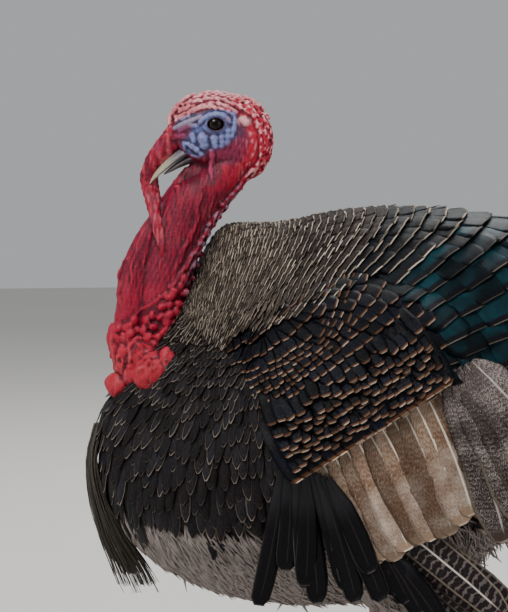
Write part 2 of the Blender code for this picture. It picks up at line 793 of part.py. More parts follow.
def wing_lines():
    """Start and end of the lines that the wing's feather rows grow along."""
    wrist, elbow, hand = (Vector(place) for place in (WING_WRIST, WING_ELBOW, WING_HAND))
    return {
        "arm": (wrist + (elbow - wrist) * 0.07, elbow),
        "hand": (wrist + (hand - wrist) * 0.08, hand),
        "knuckles": (wrist + (hand - wrist) * 0.3, hand),
        "thumb": (wrist, wrist + (hand - wrist) * 0.18),
        "elbow": (elbow + Vector((0.004, 0.004)), elbow + Vector((0.016, 0.012))),
    }


def wing_vane(root, heading, length, width, lift, roll, sign, drape, cover, collection):
    """One feather of the wing, rooted in the core and laid over the drape."""
    rows = []
    for share, wide in VANE_PROFILE if length > LONG_VANE else SHORT_VANE_PROFILE:
        angle = heading + math.radians(5) * share
        along = Vector((math.cos(angle), -math.sin(angle)))
        across = Vector((along.y, -along.x))
        middle = root + along * length * share
        pair = []
        for edge in (1, -1):
            place = middle + across * edge * width / 2 * wide
            out = drape.half_width(place.x, place.y) + lift + edge * roll
            if share == 0.0:
                out = (cover.reach(place.x, place.y) or out) - 0.005
            pair.append(Vector((place.x, sign * out, place.y)))
        rows.append(tuple(pair))
    return blade("vane", rows, VANE_THICKNESS, collection)


class Cover:
    """How far the wing's core reaches out at a place in side view."""

    def __init__(self, core, sign):
        work = bmesh.new()
        work.from_mesh(core.data)
        self.tree = BVHTree.FromBMesh(work)
        self.sign = sign
        work.free()

    def reach(self, x, z):
        hit = self.tree.ray_cast(Vector((x, self.sign, z)), Vector((0, -self.sign, 0)))[0]
        return abs(hit.y) if hit is not None else None


def build_wings(collection, torso, drape):
    lines = wing_lines()
    for side, sign in SIDES:
        outline = smooth_outline(WING_OUTLINE, 18)
        wing = plate("wing_" + side, outline, drape, sign, WING_DEPTH, collection,
                     "feather_barred", 2)
        cover = Cover(wing, sign)
        vanes = []
        for (_, line, inset, count, first, last, width, turn, end_turn, lift, step,
             roll) in WING_TIERS:
            start, end = lines[line]
            rise = Vector((-(end - start).y, (end - start).x)).normalized()
            rise = rise if rise.y > 0 else -rise
            for index in range(count):
                share = index / max(count - 1, 1)
                root = start.lerp(end, share) + rise * inset
                heading = math.radians(turn + (end_turn - turn) * share)
                length = first + (last - first) * share
                vanes.append(wing_vane(root, heading, length, width, lift + step * index, roll,
                                       sign, drape, cover, collection))
        combine(wing, vanes, "UNION")
        cut_clear(wing, [torso], collection)


def tail_vane(tier, index, collection):
    """One feather of the tail's fan."""
    count, length, width, root_rise, tip_rise, drop = tier
    share = index / (count - 1) * 2 - 1
    turn = TAIL_SPREAD * share
    rows = []
    for along_share, wide in VANE_PROFILE:
        reach = length * (1 - 0.07 * share * share) * along_share
        pair = []
        for edge in (-1, 1):
            side = width / 2 * wide * edge
            x = TAIL_ROOT[0] + reach * math.cos(turn) - side * math.sin(turn)
            y = 0.024 * share + reach * math.sin(turn) + side * math.cos(turn)
            fall = math.sin(TAIL_DROOP) * (x - TAIL_ROOT[0]) + TAIL_ARCH * y * y
            under = abs(share) + (1 / count if share < 0 else 0)
            rise = root_rise + (tip_rise - root_rise) * along_share - drop * under
            rise += edge * math.copysign(0.0010, share)
            pair.append(Vector((x, y, TAIL_ROOT[1] - fall + rise)))
        rows.append(tuple(pair))
    return blade("vane", rows, VANE_THICKNESS, collection)


def build_tail(collection, torso):
    """Fleshy root with the fan of tail feathers and their coverts above and below."""
    along = Vector((math.cos(TAIL_DROOP), 0, -math.sin(TAIL_DROOP)))
    root = Vector((TAIL_ROOT[0], 0, TAIL_ROOT[1]))
    rings = []
    for reach, wide, thick in ((-0.050, 0.036, 0.036), (0.0, 0.040, 0.032),
                               (0.050, 0.026, 0.013)):
        middle = root + along * reach
        up = Vector((0, 0, thick))
        rings.append(oval(middle + up, middle - up, wide, 10))
    tail = loft("tail", rings, collection, "feather_barred", caps=(0, 0.004))
    vanes = []
    for tier in TAIL_TIERS:
        for index in range(tier[0]):
            vanes.append(tail_vane(tier, index, collection))
    combine(tail, vanes, "UNION")
    cut_clear(tail, [torso], collection)


def build_claw(name, start, heading, collection, toe):
    rows = []
    radii = []
    for step in range(5):
        share = step / 4
        rows.append(start + heading * CLAW_LENGTH * (share * 1.15 - 0.15)
                    + Vector((0, 0, 0.0035 - 0.0062 * share ** 1.6)))
        radii.append(0.0042 * (1 - 0.88 * share))
    claw = tube(name, rows, radii, 5, collection, "horn", caps=(0, 0.0005))
    for vert in claw.data.vertices:
        vert.co.z = max(vert.co.z, 0.0004)
    cut_clear(claw, [toe], collection)


def build_foot(side, sign, collection):
    """Ball and four toes on flats at z = 0, as one body."""
    centre = Vector((ANKLE[0], sign * HIP_Y, 0.0))
    toes = []
    claws = []
    for name, turn, length in TOES:
        angle = math.radians(turn)
        heading = Vector((-math.cos(angle), sign * -math.sin(angle), 0))
        rows = []
        radii = []
        count = 7
        for step in range(count):
            share = step / (count - 1)
            knuckle = TOE_SCUTE * (-1) ** step
            rows.append(centre + heading * length * share
                        + Vector((0, 0, 0.0088 - 0.0028 * share)))
            radii.append(TOE_RADIUS * (1.12 - 0.42 * share) + knuckle)
        toe = tube("toe", rows, radii, 6, collection, None, caps=(0.002, 0.002))
        toes.append(toe)
        claws.append((name, centre + heading * (length + 0.0005), heading))
    ball = tube("foot_" + side, [centre + Vector((0.002, 0, height)) for height in
                                 (-0.001, 0.007, 0.014, 0.020)],
                [0.0135, 0.0150, 0.0145, 0.0125], 12, collection, "leg_scale",
                caps=(0, 0.001), across=(0, 1, 0))
    combine(ball, toes, "UNION")
    for vert in ball.data.vertices:
        vert.co.z = max(vert.co.z, 0.0)
    keep_largest(ball.data)
    for name, start, heading in claws:
        build_claw("claw_" + side + "_" + name, start, heading, collection, ball)
    return ball


def build_shank(name, hock, ankle, collection):
    """Bare shank whose front is stepped into two rows of scutes."""
    down = (ankle - hock).normalized()
    side = Vector((0, 1, 0))
    front = down.cross(side)
    front = front if front.x < 0 else -front
    profile = ((-0.06, HOCK_RADIUS), (0.06, HOCK_RADIUS), (0.20, SHANK_RADIUS * 1.08),
               (0.50, SHANK_RADIUS), (0.80, SHANK_RADIUS * 1.05), (0.93, FOOT_RADIUS),
               (1.12, FOOT_RADIUS))
    rings = []
    for step in range(SCUTES * 2 + 1):
        share = -0.06 + 1.18 * step / (SCUTES * 2)
        radius = next(low[1] + (high[1] - low[1]) * (share - low[0]) / (high[0] - low[0])
                      for low, high in zip(profile, profile[1:]) if share <= high[0] + 0.001)
        ring = []
        for turn_step in range(SHANK_SIDES):
            turn = math.tau * turn_step / SHANK_SIDES
            facing = math.cos(turn)
            row = 0 if math.sin(turn) > 0 else 1
            plate_rise = SCUTE_RISE if facing > 0.15 and (step + row) % 2 else 0.0
            out = front * facing * 1.12 + side * math.sin(turn) * 0.86
            ring.append(hock.lerp(ankle, share) + out * (radius + plate_rise))
        rings.append(ring)
    return loft(name, rings, collection, "leg_scale", caps=(0.002, 0))


def build_legs(collection, torso):
    for side, sign in SIDES:
        hip = Vector((THIGH_TOP[0], sign * (HIP_Y + 0.004), THIGH_TOP[1]))
        hock = Vector((HOCK[0], sign * HIP_Y, HOCK[1]))
        ankle = Vector((ANKLE[0] + 0.002, sign * HIP_Y, ANKLE[1]))
        foot = build_foot(side, sign, collection)
        centres = [hip.lerp(hock, share) for share in (0, 0.25, 0.5, 0.75, 1.0)]
        radii = [THIGH_RADIUS, 0.039, 0.032, 0.024, HOCK_RADIUS + 0.001]
        thigh = tube("thigh_" + side, centres, radii, 14, collection, "feather_dark",
                     caps=(0.002, 0.004))
        cut_clear(thigh, [torso], collection)
        down = (ankle - hock).normalized()
        shank = build_shank("shank_" + side, hock, ankle, collection)
        cut_clear(shank, [thigh, foot], collection)
        spur_root = hock.lerp(ankle, 0.68)
        out = (Vector((0.94, -0.25 * sign, 0)) - down * 0.2).normalized()
        spur_rows = [spur_root + out * SPUR_LENGTH * share + Vector((0, 0, 0.004 * share ** 2))
                     for share in (0.1, 0.5, 0.9, 1.3, 1.5)]
        spur = tube("spur_" + side, spur_rows, [0.0055, 0.0050, 0.0036, 0.0018, 0.0007], 8,
                    collection, "horn", caps=(0, 0.0004))
        cut_clear(spur, [shank], collection)


def build_turkey():
    parts = new_collection("turkey")
    tools = new_collection("cutters")
    tools.hide_render = True
    torso = build_torso(parts)
    drape = Drape(torso)
    head = build_head(parts)
    finish_head(parts, head)
    build_eyes(parts, head)
    neck = build_neck(parts, torso, head)
    upper, lower = build_beak(parts, head, neck)
    snood = build_snood(parts, [head, upper, neck])
    dewlap = build_dewlap(parts, [torso, head, neck, lower, snood])
    build_caruncles(parts, [torso, neck, dewlap])
    build_beard(parts, torso)
    build_wings(parts, torso, drape)
    build_tail(parts, torso)
    build_legs(parts, torso)
    bird = bpy.data.objects.new("turkey", None)
    parts.objects.link(bird)
    bird.location.x = -MIDDLE_X
    for obj in parts.objects:
        if obj != bird:
            obj.parent = bird
    bpy.data.collections.remove(tools)


def main():
    clear_scene()
    build_turkey()


main()
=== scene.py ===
"""Looks of the domestic turkey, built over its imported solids.

One skin with all its folds and caruncles, a coat of vanes laid in rows over the body, the wings
and tail in their tiers, the beard, and the scaled legs. Sizes are in metres, those in metric
tables in tenths of a millimetre. The bird's own frame looks along -X with its left side at -Y;
MIDDLE_X moves it over the part's origin.
"""

import random
from math import atan2, copysign, cos, degrees, hypot, pi, radians, sin, tau

import bmesh
import bpy
import numpy as np
from bpy.props import FloatProperty, FloatVectorProperty, IntProperty, PointerProperty
from mathutils import Matrix, Vector, noise
from mathutils.bvhtree import BVHTree


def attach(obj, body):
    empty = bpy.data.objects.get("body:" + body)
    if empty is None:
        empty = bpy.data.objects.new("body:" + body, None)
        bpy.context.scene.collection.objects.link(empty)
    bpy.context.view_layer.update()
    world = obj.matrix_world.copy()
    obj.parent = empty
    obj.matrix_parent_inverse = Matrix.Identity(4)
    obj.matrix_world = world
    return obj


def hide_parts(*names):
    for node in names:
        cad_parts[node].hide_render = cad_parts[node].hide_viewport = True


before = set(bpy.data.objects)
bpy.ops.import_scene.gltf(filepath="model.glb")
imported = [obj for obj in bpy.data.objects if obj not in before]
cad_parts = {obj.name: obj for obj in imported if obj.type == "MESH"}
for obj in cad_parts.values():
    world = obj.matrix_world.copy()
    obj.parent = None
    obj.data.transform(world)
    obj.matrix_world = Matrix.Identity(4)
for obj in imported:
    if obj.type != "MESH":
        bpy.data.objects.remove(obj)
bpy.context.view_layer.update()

bl_info = {
    "name": "Domestic turkey",
    "version": (1, 0, 0),
    "blender": (4, 5, 0),
    "location": "View3D > Sidebar > Turkey",
    "description": "Skin, feathers, beard and legs of a life-size turkey tom",
    "category": "Object",
}


def metric(table):
    """A table written in tenths of a millimetre, in metres."""
    if isinstance(table, tuple):
        return tuple(metric(part) for part in table)
    return table if isinstance(table, str) else table / 10000


MIDDLE_X = 0.239
SIDES = (("left", -1), ("right", 1))
BAKE_PATCH = 0.003

# Torso: top x, top z, bottom x, bottom z, half width of ovals that fan out from neck to vent
TORSO_STATIONS = metric((
    (-760, 5560, -1500, 3870, 340), (-620, 5570, -1830, 3930, 400), (-420, 5530, -1930, 3450, 610),
    (-120, 5530, -1840, 2890, 1060), (280, 5620, -1520, 2450, 1410), (740, 5670, -980, 2110, 1580),
    (1220, 5670, -360, 1960, 1620), (1700, 5620, 340, 1920, 1600), (2140, 5520, 1020, 2040, 1480),
    (2500, 5390, 1640, 2360, 1270), (2800, 5230, 2170, 2840, 1000), (3020, 5080, 2620, 3450, 700),
    (3180, 4960, 2950, 4050, 400),
))
# Bare neck: back x, back z, throat x, throat z, half width
NECK_STATIONS = metric((
    (-1080, 3900, -1600, 3960, 300), (-1040, 4550, -1550, 4480, 290), (-990, 5000, -1500, 5050, 280),
    (-910, 5320, -1380, 5480, 270), (-770, 5570, -1220, 5830, 260), (-560, 5830, -960, 6000, 250),
    (-380, 6040, -780, 6220, 230),
))
# Head: top x, top z, bottom x, bottom z, half width, from the beak's root to the nape
HEAD_STATIONS = metric((
    (-1210, 6370, -1100, 6140, 80), (-1160, 6500, -1000, 6060, 150), (-1040, 6640, -880, 5990, 205),
    (-860, 6710, -740, 5920, 240), (-660, 6690, -610, 5880, 258), (-460, 6650, -480, 5900, 258),
    (-320, 6500, -360, 5970, 225), (-260, 6350, -280, 6120, 130),
))
# Snood: middle x, y, z and half width, from the forehead over the beak to its tip
SNOOD_STATIONS = metric((
    (-1040, 0, 6440, 85), (-1110, 5, 6370, 106), (-1200, 15, 6265, 106), (-1290, 40, 6155, 98),
    (-1365, 85, 6040, 86), (-1395, 90, 5920, 85), (-1385, 50, 5800, 80), (-1365, -60, 5650, 70),
    (-1340, -190, 5450, 52), (-1305, -245, 5230, 22),
))
# Dewlap: back x, back z, front x, front z, half width
DEWLAP_STATIONS = metric((
    (-980, 6040, -1080, 6020, 60), (-1060, 5900, -1230, 5830, 90), (-1160, 5680, -1390, 5600, 115),
    (-1280, 5400, -1570, 5330, 135), (-1360, 5080, -1680, 5020, 150), (-1380, 4780, -1715, 4740, 160),
    (-1420, 4520, -1740, 4460, 150), (-1480, 4280, -1690, 4240, 120),
))
# Beak halves: middle x, middle z, half height, half width
UPPER_BEAK_STATIONS = metric((
    (-900, 6205, 80, 105), (-1040, 6175, 76, 100), (-1160, 6105, 70, 85), (-1270, 6015, 58, 62),
    (-1360, 5930, 38, 38), (-1400, 5875, 12, 14),
))
LOWER_BEAK_STATIONS = metric((
    (-860, 6140, 66, 100), (-1000, 6120, 58, 92), (-1110, 6070, 46, 74), (-1200, 6015, 32, 50),
    (-1268, 5965, 10, 14),
))
EYE = Vector((-0.0815, 0.0, 0.6425))
EYE_RADIUS = 0.0085
EYE_DEPTH = 0.0165
EYE_OPENING = (0.0076, 0.0054)
FOLD_SHIFT = -0.0012

# Folds of the head's side, from the eye's middle: x and z of each point, then radii
HEAD_FOLDS = metric((
    ("brow bar", ((-353, -42), (-270, 2), (-195, 37), (-121, 74)), (22, 30, 28, 18)),
    ("brow ridge", ((-132, 20), (-66, 68), (20, 86), (98, 66), (142, 16)), (22, 32, 38, 34, 20)),
    ("bar behind the eye", ((186, 70), (181, -23), (153, -116)), (18, 25, 17)),
    ("cheek pad", ((-190, -100), (-180, -145)), (40, 36)),
    ("cheek pad", ((-98, -120), (-85, -185)), (66, 58)),
    ("cheek pad", ((2, -125), (14, -190)), (50, 44)),
    ("cheek pad", ((70, -110), (70, -195)), (42, 36)),
    ("cheek pad", ((128, -60), (118, -165)), (46, 42)),
    ("lores pad", ((-300, -60), (-230, -15), (-165, -10)), (30, 34, 24)),
    ("lores pad", ((-330, -110), (-270, -110)), (32, 34)),
    ("gape pad", ((-180, -290), (-80, -310)), (34, 40)),
    ("nostril lobe", ((-233, -181), (-167, -223), (-112, -274)), (24, 30, 22)),
    ("nostril rim", ((-268, -176), (-262, -237)), (20, 16)),
    ("hanging strip", ((-28, -246), (-14, -339), (-30, -432), (-26, -500)), (26, 28, 24, 12)),
    ("ear pad", ((262, 40), (285, 15)), (42, 38)),
    ("crown fold", ((-74, 279), (28, 284), (121, 274), (214, 246)), (20, 24, 22, 18)),
    ("crown fold", ((-279, 191), (-233, 228), (-167, 262)), (24, 28, 22)),
    ("crown fold", ((-195, 218), (-121, 252), (-65, 256)), (18, 22, 18)),
    ("crown fold", ((-251, 181), (-158, 205), (-47, 228), (74, 219), (177, 172)), (20, 25, 23, 25, 18)),
    ("crown fold", ((-65, 190), (28, 188), (121, 158), (205, 107)), (18, 23, 24, 18)),
    ("crown fold", ((-223, 107), (-121, 153), (-28, 163), (19, 140)), (26, 31, 30, 20)),
    ("crown fold", ((28, 149), (112, 121), (177, 88)), (18, 22, 17)),
    ("forehead fold", ((-355, 98), (-325, 158), (-279, 191)), (22, 25, 20)),
    ("forehead fold", ((-316, 126), (-251, 135), (-205, 163)), (22, 22, 18)),
    ("forehead fold", ((-344, 69), (-288, 51), (-223, 79)), (22, 25, 19)),
    ("forehead fold", ((-385, 78), (-390, 20), (-370, -40)), (20, 26, 22)),
))
# Folds down the neck's side: x and z of each point, then the radius of each fold
NECK_FOLDS = metric((
    ((-460, 6030), (-560, 5910), (-725, 5700), (-835, 5550), (-945, 5370),
     (-1050, 5205), (-1155, 5045), (-1250, 4925)),
    ((-455, 5980), (-577, 5822), (-700, 5650), (-777, 5573), (-880, 5387),
     (-976, 5240), (-1056, 5095), (-1162, 4962), (-1309, 4856), (-1468, 4740), (-1588, 4657)),
    ((-800, 5900), (-857, 5720), (-897, 5494), (-990, 5281), (-1162, 5002)),
    ((-930, 5860), (-976, 5720), (-1016, 5494), (-1100, 5321), (-1176, 5150), (-1250, 4960)),
    ((-1060, 5880), (-1123, 5720), (-1162, 5321), (-1230, 4940)),
    ((-1180, 5800), (-1282, 5560), (-1335, 5188), (-1375, 4856)),
    ((-1300, 5700), (-1420, 5387), (-1480, 5055), (-1500, 4763)),
    ((-1380, 5580), (-1540, 5281), (-1590, 4975), (-1600, 4683)),
    ((-1600, 5200), (-1667, 5095), (-1690, 4896), (-1675, 4710)),
))
NECK_FOLD_RADII = metric((30, 28, 18, 28, 12, 12, 15, 15, 20))
# Big lobes at the foot of the neck: x, y, z of the middle, half sizes along, across and deep, tilt
LOBES = (
    (-0.14, 0.047, 0.419, 0.0225, 0.015, 0.0175, 38),
    (-0.129, 0.052, 0.429, 0.013, 0.011, 0.012, 40),
    (-0.169, 0.0075, 0.401, 0.0128, 0.0124, 0.0125, 0),
    (-0.156, 0.026, 0.412, 0.012, 0.013, 0.013, 60),
    (-0.172, 0.008, 0.44, 0.0185, 0.0062, 0.007, 98),
    (-0.164, 0.016, 0.423, 0.017, 0.0075, 0.009, 100),
    (-0.148, 0.032, 0.43, 0.012, 0.01, 0.011, 30),
)
# Flesh that the lobes and the chin sit on, and the skin under the coat, painted dark as the shade between
# the feathers
LOBE_CORE = (-0.146, 0.0, 0.424, 0.028, 0.03, 0.03, 60)
CHIN = (-0.096, 0, 0.588, 0.027, 0.0125, 0.015, 70)
UNDER_COAT_SHADE = (0.03, 0.025, 0.022)
# Outlines round the small caruncles: behind the head from the eye's middle, then on the neck
BACK_BEADS = metric((
    (180, 270), (300, 260), (430, 170), (530, -40), (540, -260), (460, -440), (360, -460), (410, -280),
    (400, -80), (340, 80), (240, 130), (160, 200),
))
CLUSTER_BEADS = metric((
    (-1120, 5020), (-1300, 4800), (-1600, 4600), (-1640, 4420), (-1450, 4380), (-1180, 4400),
    (-1090, 4600), (-1060, 4850),
))
SMALL_BEADS = metric((
    (-1650, 4560), (-1680, 4330), (-1500, 4270), (-1230, 4330), (-1130, 4450), (-1400, 4460),
))
LOBE_BEADS = metric(((-1700, 4560), (-1740, 4300), (-1640, 4180), (-1480, 4240), (-1480, 4420)))

# Beard: middle x, z, half thickness and half width
BEARD_STATIONS = metric((
    (-1880, 3660, 30, 40), (-1950, 3350, 40, 80), (-1900, 3000, 70, 120), (-1770, 2640, 125, 160),
    (-1600, 2320, 175, 200), (-1480, 2060, 200, 230),
))

# Wing lines in side view, and the outline of the flesh and coverts that the coat runs over
WING_WRIST = Vector((-0.015, 0.35))
WING_ELBOW = Vector((0.115, 0.43))
WING_HAND = Vector((0.055, 0.252))
WING_PAD = metric((
    (-780, 4250), (-580, 3450), (-200, 3000), (600, 3000), (1250, 3400), (1500, 4050), (1350, 4600),
    (800, 5000), (-100, 5020), (-600, 4740),
))
FLIGHT_SHEET = 0.158
# Tip lines of the shoulder's and wing's small feathers: front, middle and rear end in side view
WING_ROWS = metric((
    (-860, 4438, -255, 5019, 404, 5360), (-771, 4260, -150, 4623, 227, 5201),
    (-682, 4118, -36, 4535, 404, 5183), (-611, 3976, 140, 4518, 722, 4953),
    (-522, 3798, 228, 4245, 934, 4724), (-415, 3620, 289, 3964, 1058, 4459),
    (-290, 3442, 316, 3718, 1093, 4167),
))
WING_AREA = metric((
    (-900, 4500), (-586, 4631), (-158, 4817), (121, 4929), (465, 5106), (640, 5150), (780, 4953),
    (934, 4724), (1058, 4459), (1093, 4167), (614, 3838), (175, 3575), (-263, 3373), (-415, 3620),
    (-682, 4118),
))
# Feather rows of a wing: finish, line they grow along, inset, count, first and last length,
# width, first and last heading below the level in degrees, lift over the body, step of lift
WING_TIERS = (
    ("primary", "hand", 0.0, 10, 0.228, 0.285, 0.03, 31, 43, 0.0125, -0.0011),
    ("primary_covert", "knuckles", 0.006, 7, 0.098, 0.085, 0.024, 62, 48, 0.015, 0.0005),
    ("primary_covert", "front", 0.0, 9, 0.128, 0.104, 0.021, 86, 62, 0.0175, 0.0005),
    ("secondary", "arm", 0.0, 13, 0.112, 0.126, 0.034, 56, 66, 0.0165, 0.0001),
    ("tertial", "elbow", 0.0, 5, 0.15, 0.132, 0.04, 66, 44, 0.019, 0.0008),
    ("greater_covert", "hem", 0.0, 18, 0.062, 0.066, 0.023, 50, 54, 0.0225, 0.0001),
    ("lesser_covert", "hem", 0.009, 25, 0.04, 0.046, 0.0138, 60, 50, 0.0256, 0.0),
    ("lesser_covert", "hem", 0.018, 25, 0.038, 0.044, 0.0132, 62, 50, 0.0263, 0.0),
    ("lesser_covert", "hem", 0.028, 24, 0.036, 0.042, 0.0132, 64, 48, 0.0267, 0.0),
    ("lesser_covert", "hem", 0.038, 22, 0.034, 0.04, 0.0132, 66, 46, 0.0268, 0.0),
    ("lesser_covert", "hem", 0.048, 18, 0.032, 0.038, 0.0132, 68, 44, 0.0268, 0.0),
)

# Tail: root x and z, droop, spread to each side, sideways arch
TAIL_ROOT = (0.335, 0.452)
TAIL_DROOP = radians(11)
TAIL_SPREAD = radians(30)
TAIL_ARCH = 0.35
SLEEVE_START = -0.055
SLEEVE_LENGTH = 0.105
SLEEVE_RADIUS = 0.04
SLEEVE_COUNT = 19
# Feather rows of the tail: finish, count, length, width, rise at root and tip, outer drop
TAIL_TIERS = (
    ("tail", 18, 0.345, 0.056, 0.003, 0.003, 0.015),
    ("tail_covert", 14, 0.205, 0.05, 0.012, 0.0085, 0.013),
    ("tail_covert", 13, 0.15, 0.048, 0.02, 0.013, 0.012),
    ("tail_covert", 11, 0.105, 0.046, 0.028, 0.017, 0.011),
    ("under_tail", 13, 0.16, 0.046, -0.015, -0.013, 0.006),
    ("under_tail", 11, 0.1, 0.046, -0.023, -0.018, 0.005),
)

# Legs
HIP_Y = 0.082
THIGH_TOP = (0.055, 0.255)
HOCK = (0.1, 0.178)
ANKLE = (0.07, 0.03)
THIGH_RADII = metric((420, 390, 320, 240, 160))
SHANK_PROFILE = ((-0.06, 0.014), (0.06, 0.015), (0.2, 0.0099), (0.5, 0.0092),
                 (0.8, 0.0097), (0.93, 0.0122), (1.06, 0.0126))
TOES = (("inner", 38, 0.072), ("middle", 0, 0.094), ("outer", -38, 0.076), ("hind", 180, 0.036))
TOE_RADIUS = 0.0085
CLAW_LENGTH = 0.018

# Vane outlines: share of the length and share of the width there
BODY_VANE = ((0.0, 0.3), (0.3, 0.74), (0.62, 1.0), (0.86, 0.97), (0.96, 0.82), (1.0, 0.56))
SHOULDER_VANE = ((0.0, 0.3), (0.3, 0.8), (0.62, 1.0), (0.84, 0.97), (0.95, 0.8),
                 (1.0, 0.4))
MANTLE_VANE = ((0.0, 0.35), (0.35, 0.8), (0.7, 1.0), (0.95, 0.98), (1.0, 0.8))
DROP_VANE = ((0.0, 0.25), (0.22, 0.62), (0.5, 0.96), (0.74, 1.0), (0.9, 0.74), (1.0, 0.22))
FLIGHT_VANE = ((0.0, 0.16), (0.06, 0.5), (0.16, 0.8), (0.34, 0.95), (0.55, 1.0), (0.76, 0.98),
               (0.9, 0.84), (0.97, 0.58), (1.0, 0.24))

# Lie of the coat: tip lines over mantle, back and rump are rays from one place in side view;
# those of the breast run round another. The line parts the two, from neck to belly.
BACK_FOCUS = (-0.13, 0.367)
BACK_GAPS = ((-40, 0.02), (14, 0.019), (27, 0.015), (33, 0.0118), (38, 0.0088),
             (44, 0.0068), (52, 0.005), (62, 0.0038), (75, 0.0032))
COLLAR = (-0.118, 0.455, -0.094, 0.56)
BREAST_FOCUS = (-0.105, 0.462)
BREAST_SQUASH = 0.4
BREAST_LINE = metric((
    (-1120, 4700), (-980, 4530), (-740, 4300), (-568, 3980), (-400, 3500), (-300, 2000),
))
BREAST_HEM = 0.262

# The photo's view
VIEW_TARGET = Vector((-0.043, 0.0, 0.473))
VIEW_AZIMUTH = radians(-8)
VIEW_ELEVATION = radians(5)
VIEW_DISTANCE = 3.0
VIEW_HEIGHT = 0.569


def metres(name, size, text):
    return FloatProperty(name=name, description=text, default=size, min=0.0, unit="LENGTH")


def colour(name, shade, text):
    return FloatVectorProperty(name=name, description=text, default=shade, min=0.0, max=1.0, size=3,
        subtype="COLOR")


class TurkeySkinSizes(bpy.types.PropertyGroup):
    voxel: metres("Skin grain", 0.0008, "Size of the cells that the skin's folds are fused in")
    faces: IntProperty(name="Skin faces", description="Triangles that the bare skin keeps",
        default=150000, min=20000, max=180000)
    bead: metres("Bead", 0.0019, "Half length of the small beads at the back of the head")
    bead_count: IntProperty(name="Beads", description="Beads on each side of the head", default=150,
        min=10, max=400)


class TurkeyCoatSizes(bpy.types.PropertyGroup):
    depth: metres("Coat depth", 0.0075, "How deep the feathers are rooted under their tips")
    grain: metres("Lay grain", 0.006, "Size of the cells of the shape that feathers are laid on")
    rows: FloatProperty(name="Row distance", min=0.6, max=2.0, default=1.0,
        description="Factor on the distance between all rows of feathers")
    vane: metres("Vane", 0.0005, "Thickness of a small feather along its middle")


class TurkeyColours(bpy.types.PropertyGroup):
    # Crimson and slate are also painted into creases as shade.
    crimson: colour("Crimson", (0.122, 0.002, 0.019), "Deep red of throat and creases")
    red: colour("Red", (0.375, 0.004, 0.025), "Red of neck, snood and beads")
    coral: colour("Coral", (0.335, 0.014, 0.026), "Lighter red of the big lobes")
    # Blush also lightens crests, partly as their own colour and partly as painted highlight.
    blush: colour("Blush", (0.72, 0.34, 0.36), "Pinkish white of crown folds and bead tips")
    lilac: colour("Lilac", (0.08, 0.115, 0.285), "Blue-grey skin round the eye")
    slate: colour("Slate", (0.02, 0.016, 0.04), "Dark blue in the creases of the face")
    soot: colour("Soot", (0.0045, 0.0045, 0.006), "Black of the feathers")
    buff: colour("Buff", (0.44, 0.36, 0.28), "Pale edges of the feathers")
    rust: colour("Rust", (0.085, 0.034, 0.016), "Brown of the wing coverts' edges")
    # The teal is painted into the feathers' colour as a sheen.
    teal: colour("Teal", (0.0035, 0.026, 0.034), "Green-blue sheen of back and rump")
    down: colour("Down", (0.25, 0.207, 0.188), "Grey-brown fluff of the belly")
    leg: colour("Leg", (0.3, 0.15, 0.125), "Scaled skin of the legs")


def bird(place):
    """A place of the bird's own frame, in the part's frame."""
    return Vector((place[0] - MIDDLE_X, place[1], place[2]))


def between(stations, count):
    """Smooth rows through the given stations, at even steps."""
    rows = np.array(stations, dtype=float)
    last = len(rows) - 1
    place = np.linspace(0, last, count)
    index = np.minimum(place.astype(int), last - 1)
    t = (place - index)[:, None]
    before, start = rows[np.maximum(index - 1, 0)], rows[index]
    end, after = rows[index + 1], rows[np.minimum(index + 2, last)]
    return 0.5 * (2 * start + (end - before) * t + (2 * before - 5 * start + 4 * end - after) * t ** 2 +
        (3 * start - before - 3 * end + after) * t ** 3)


def dim(shade, share):
    """The shade times a number."""
    return [part * share for part in shade]


def smooth(low, high, value):
    """Zero below low, one above high, and a soft step between."""
    share = np.clip((np.asarray(value) - low) / (high - low), 0.0, 1.0)
    return share * share * (3 - 2 * share)


def inside(outline, x, z):
    """Whether a side-view place is inside a closed outline."""
    found = False
    for (ax, az), (bx, bz) in zip(outline, outline[1:] + outline[:1]):
        if (az > z) != (bz > z) and x < ax + (bx - ax) * (z - az) / (bz - az):
            found = not found
    return found


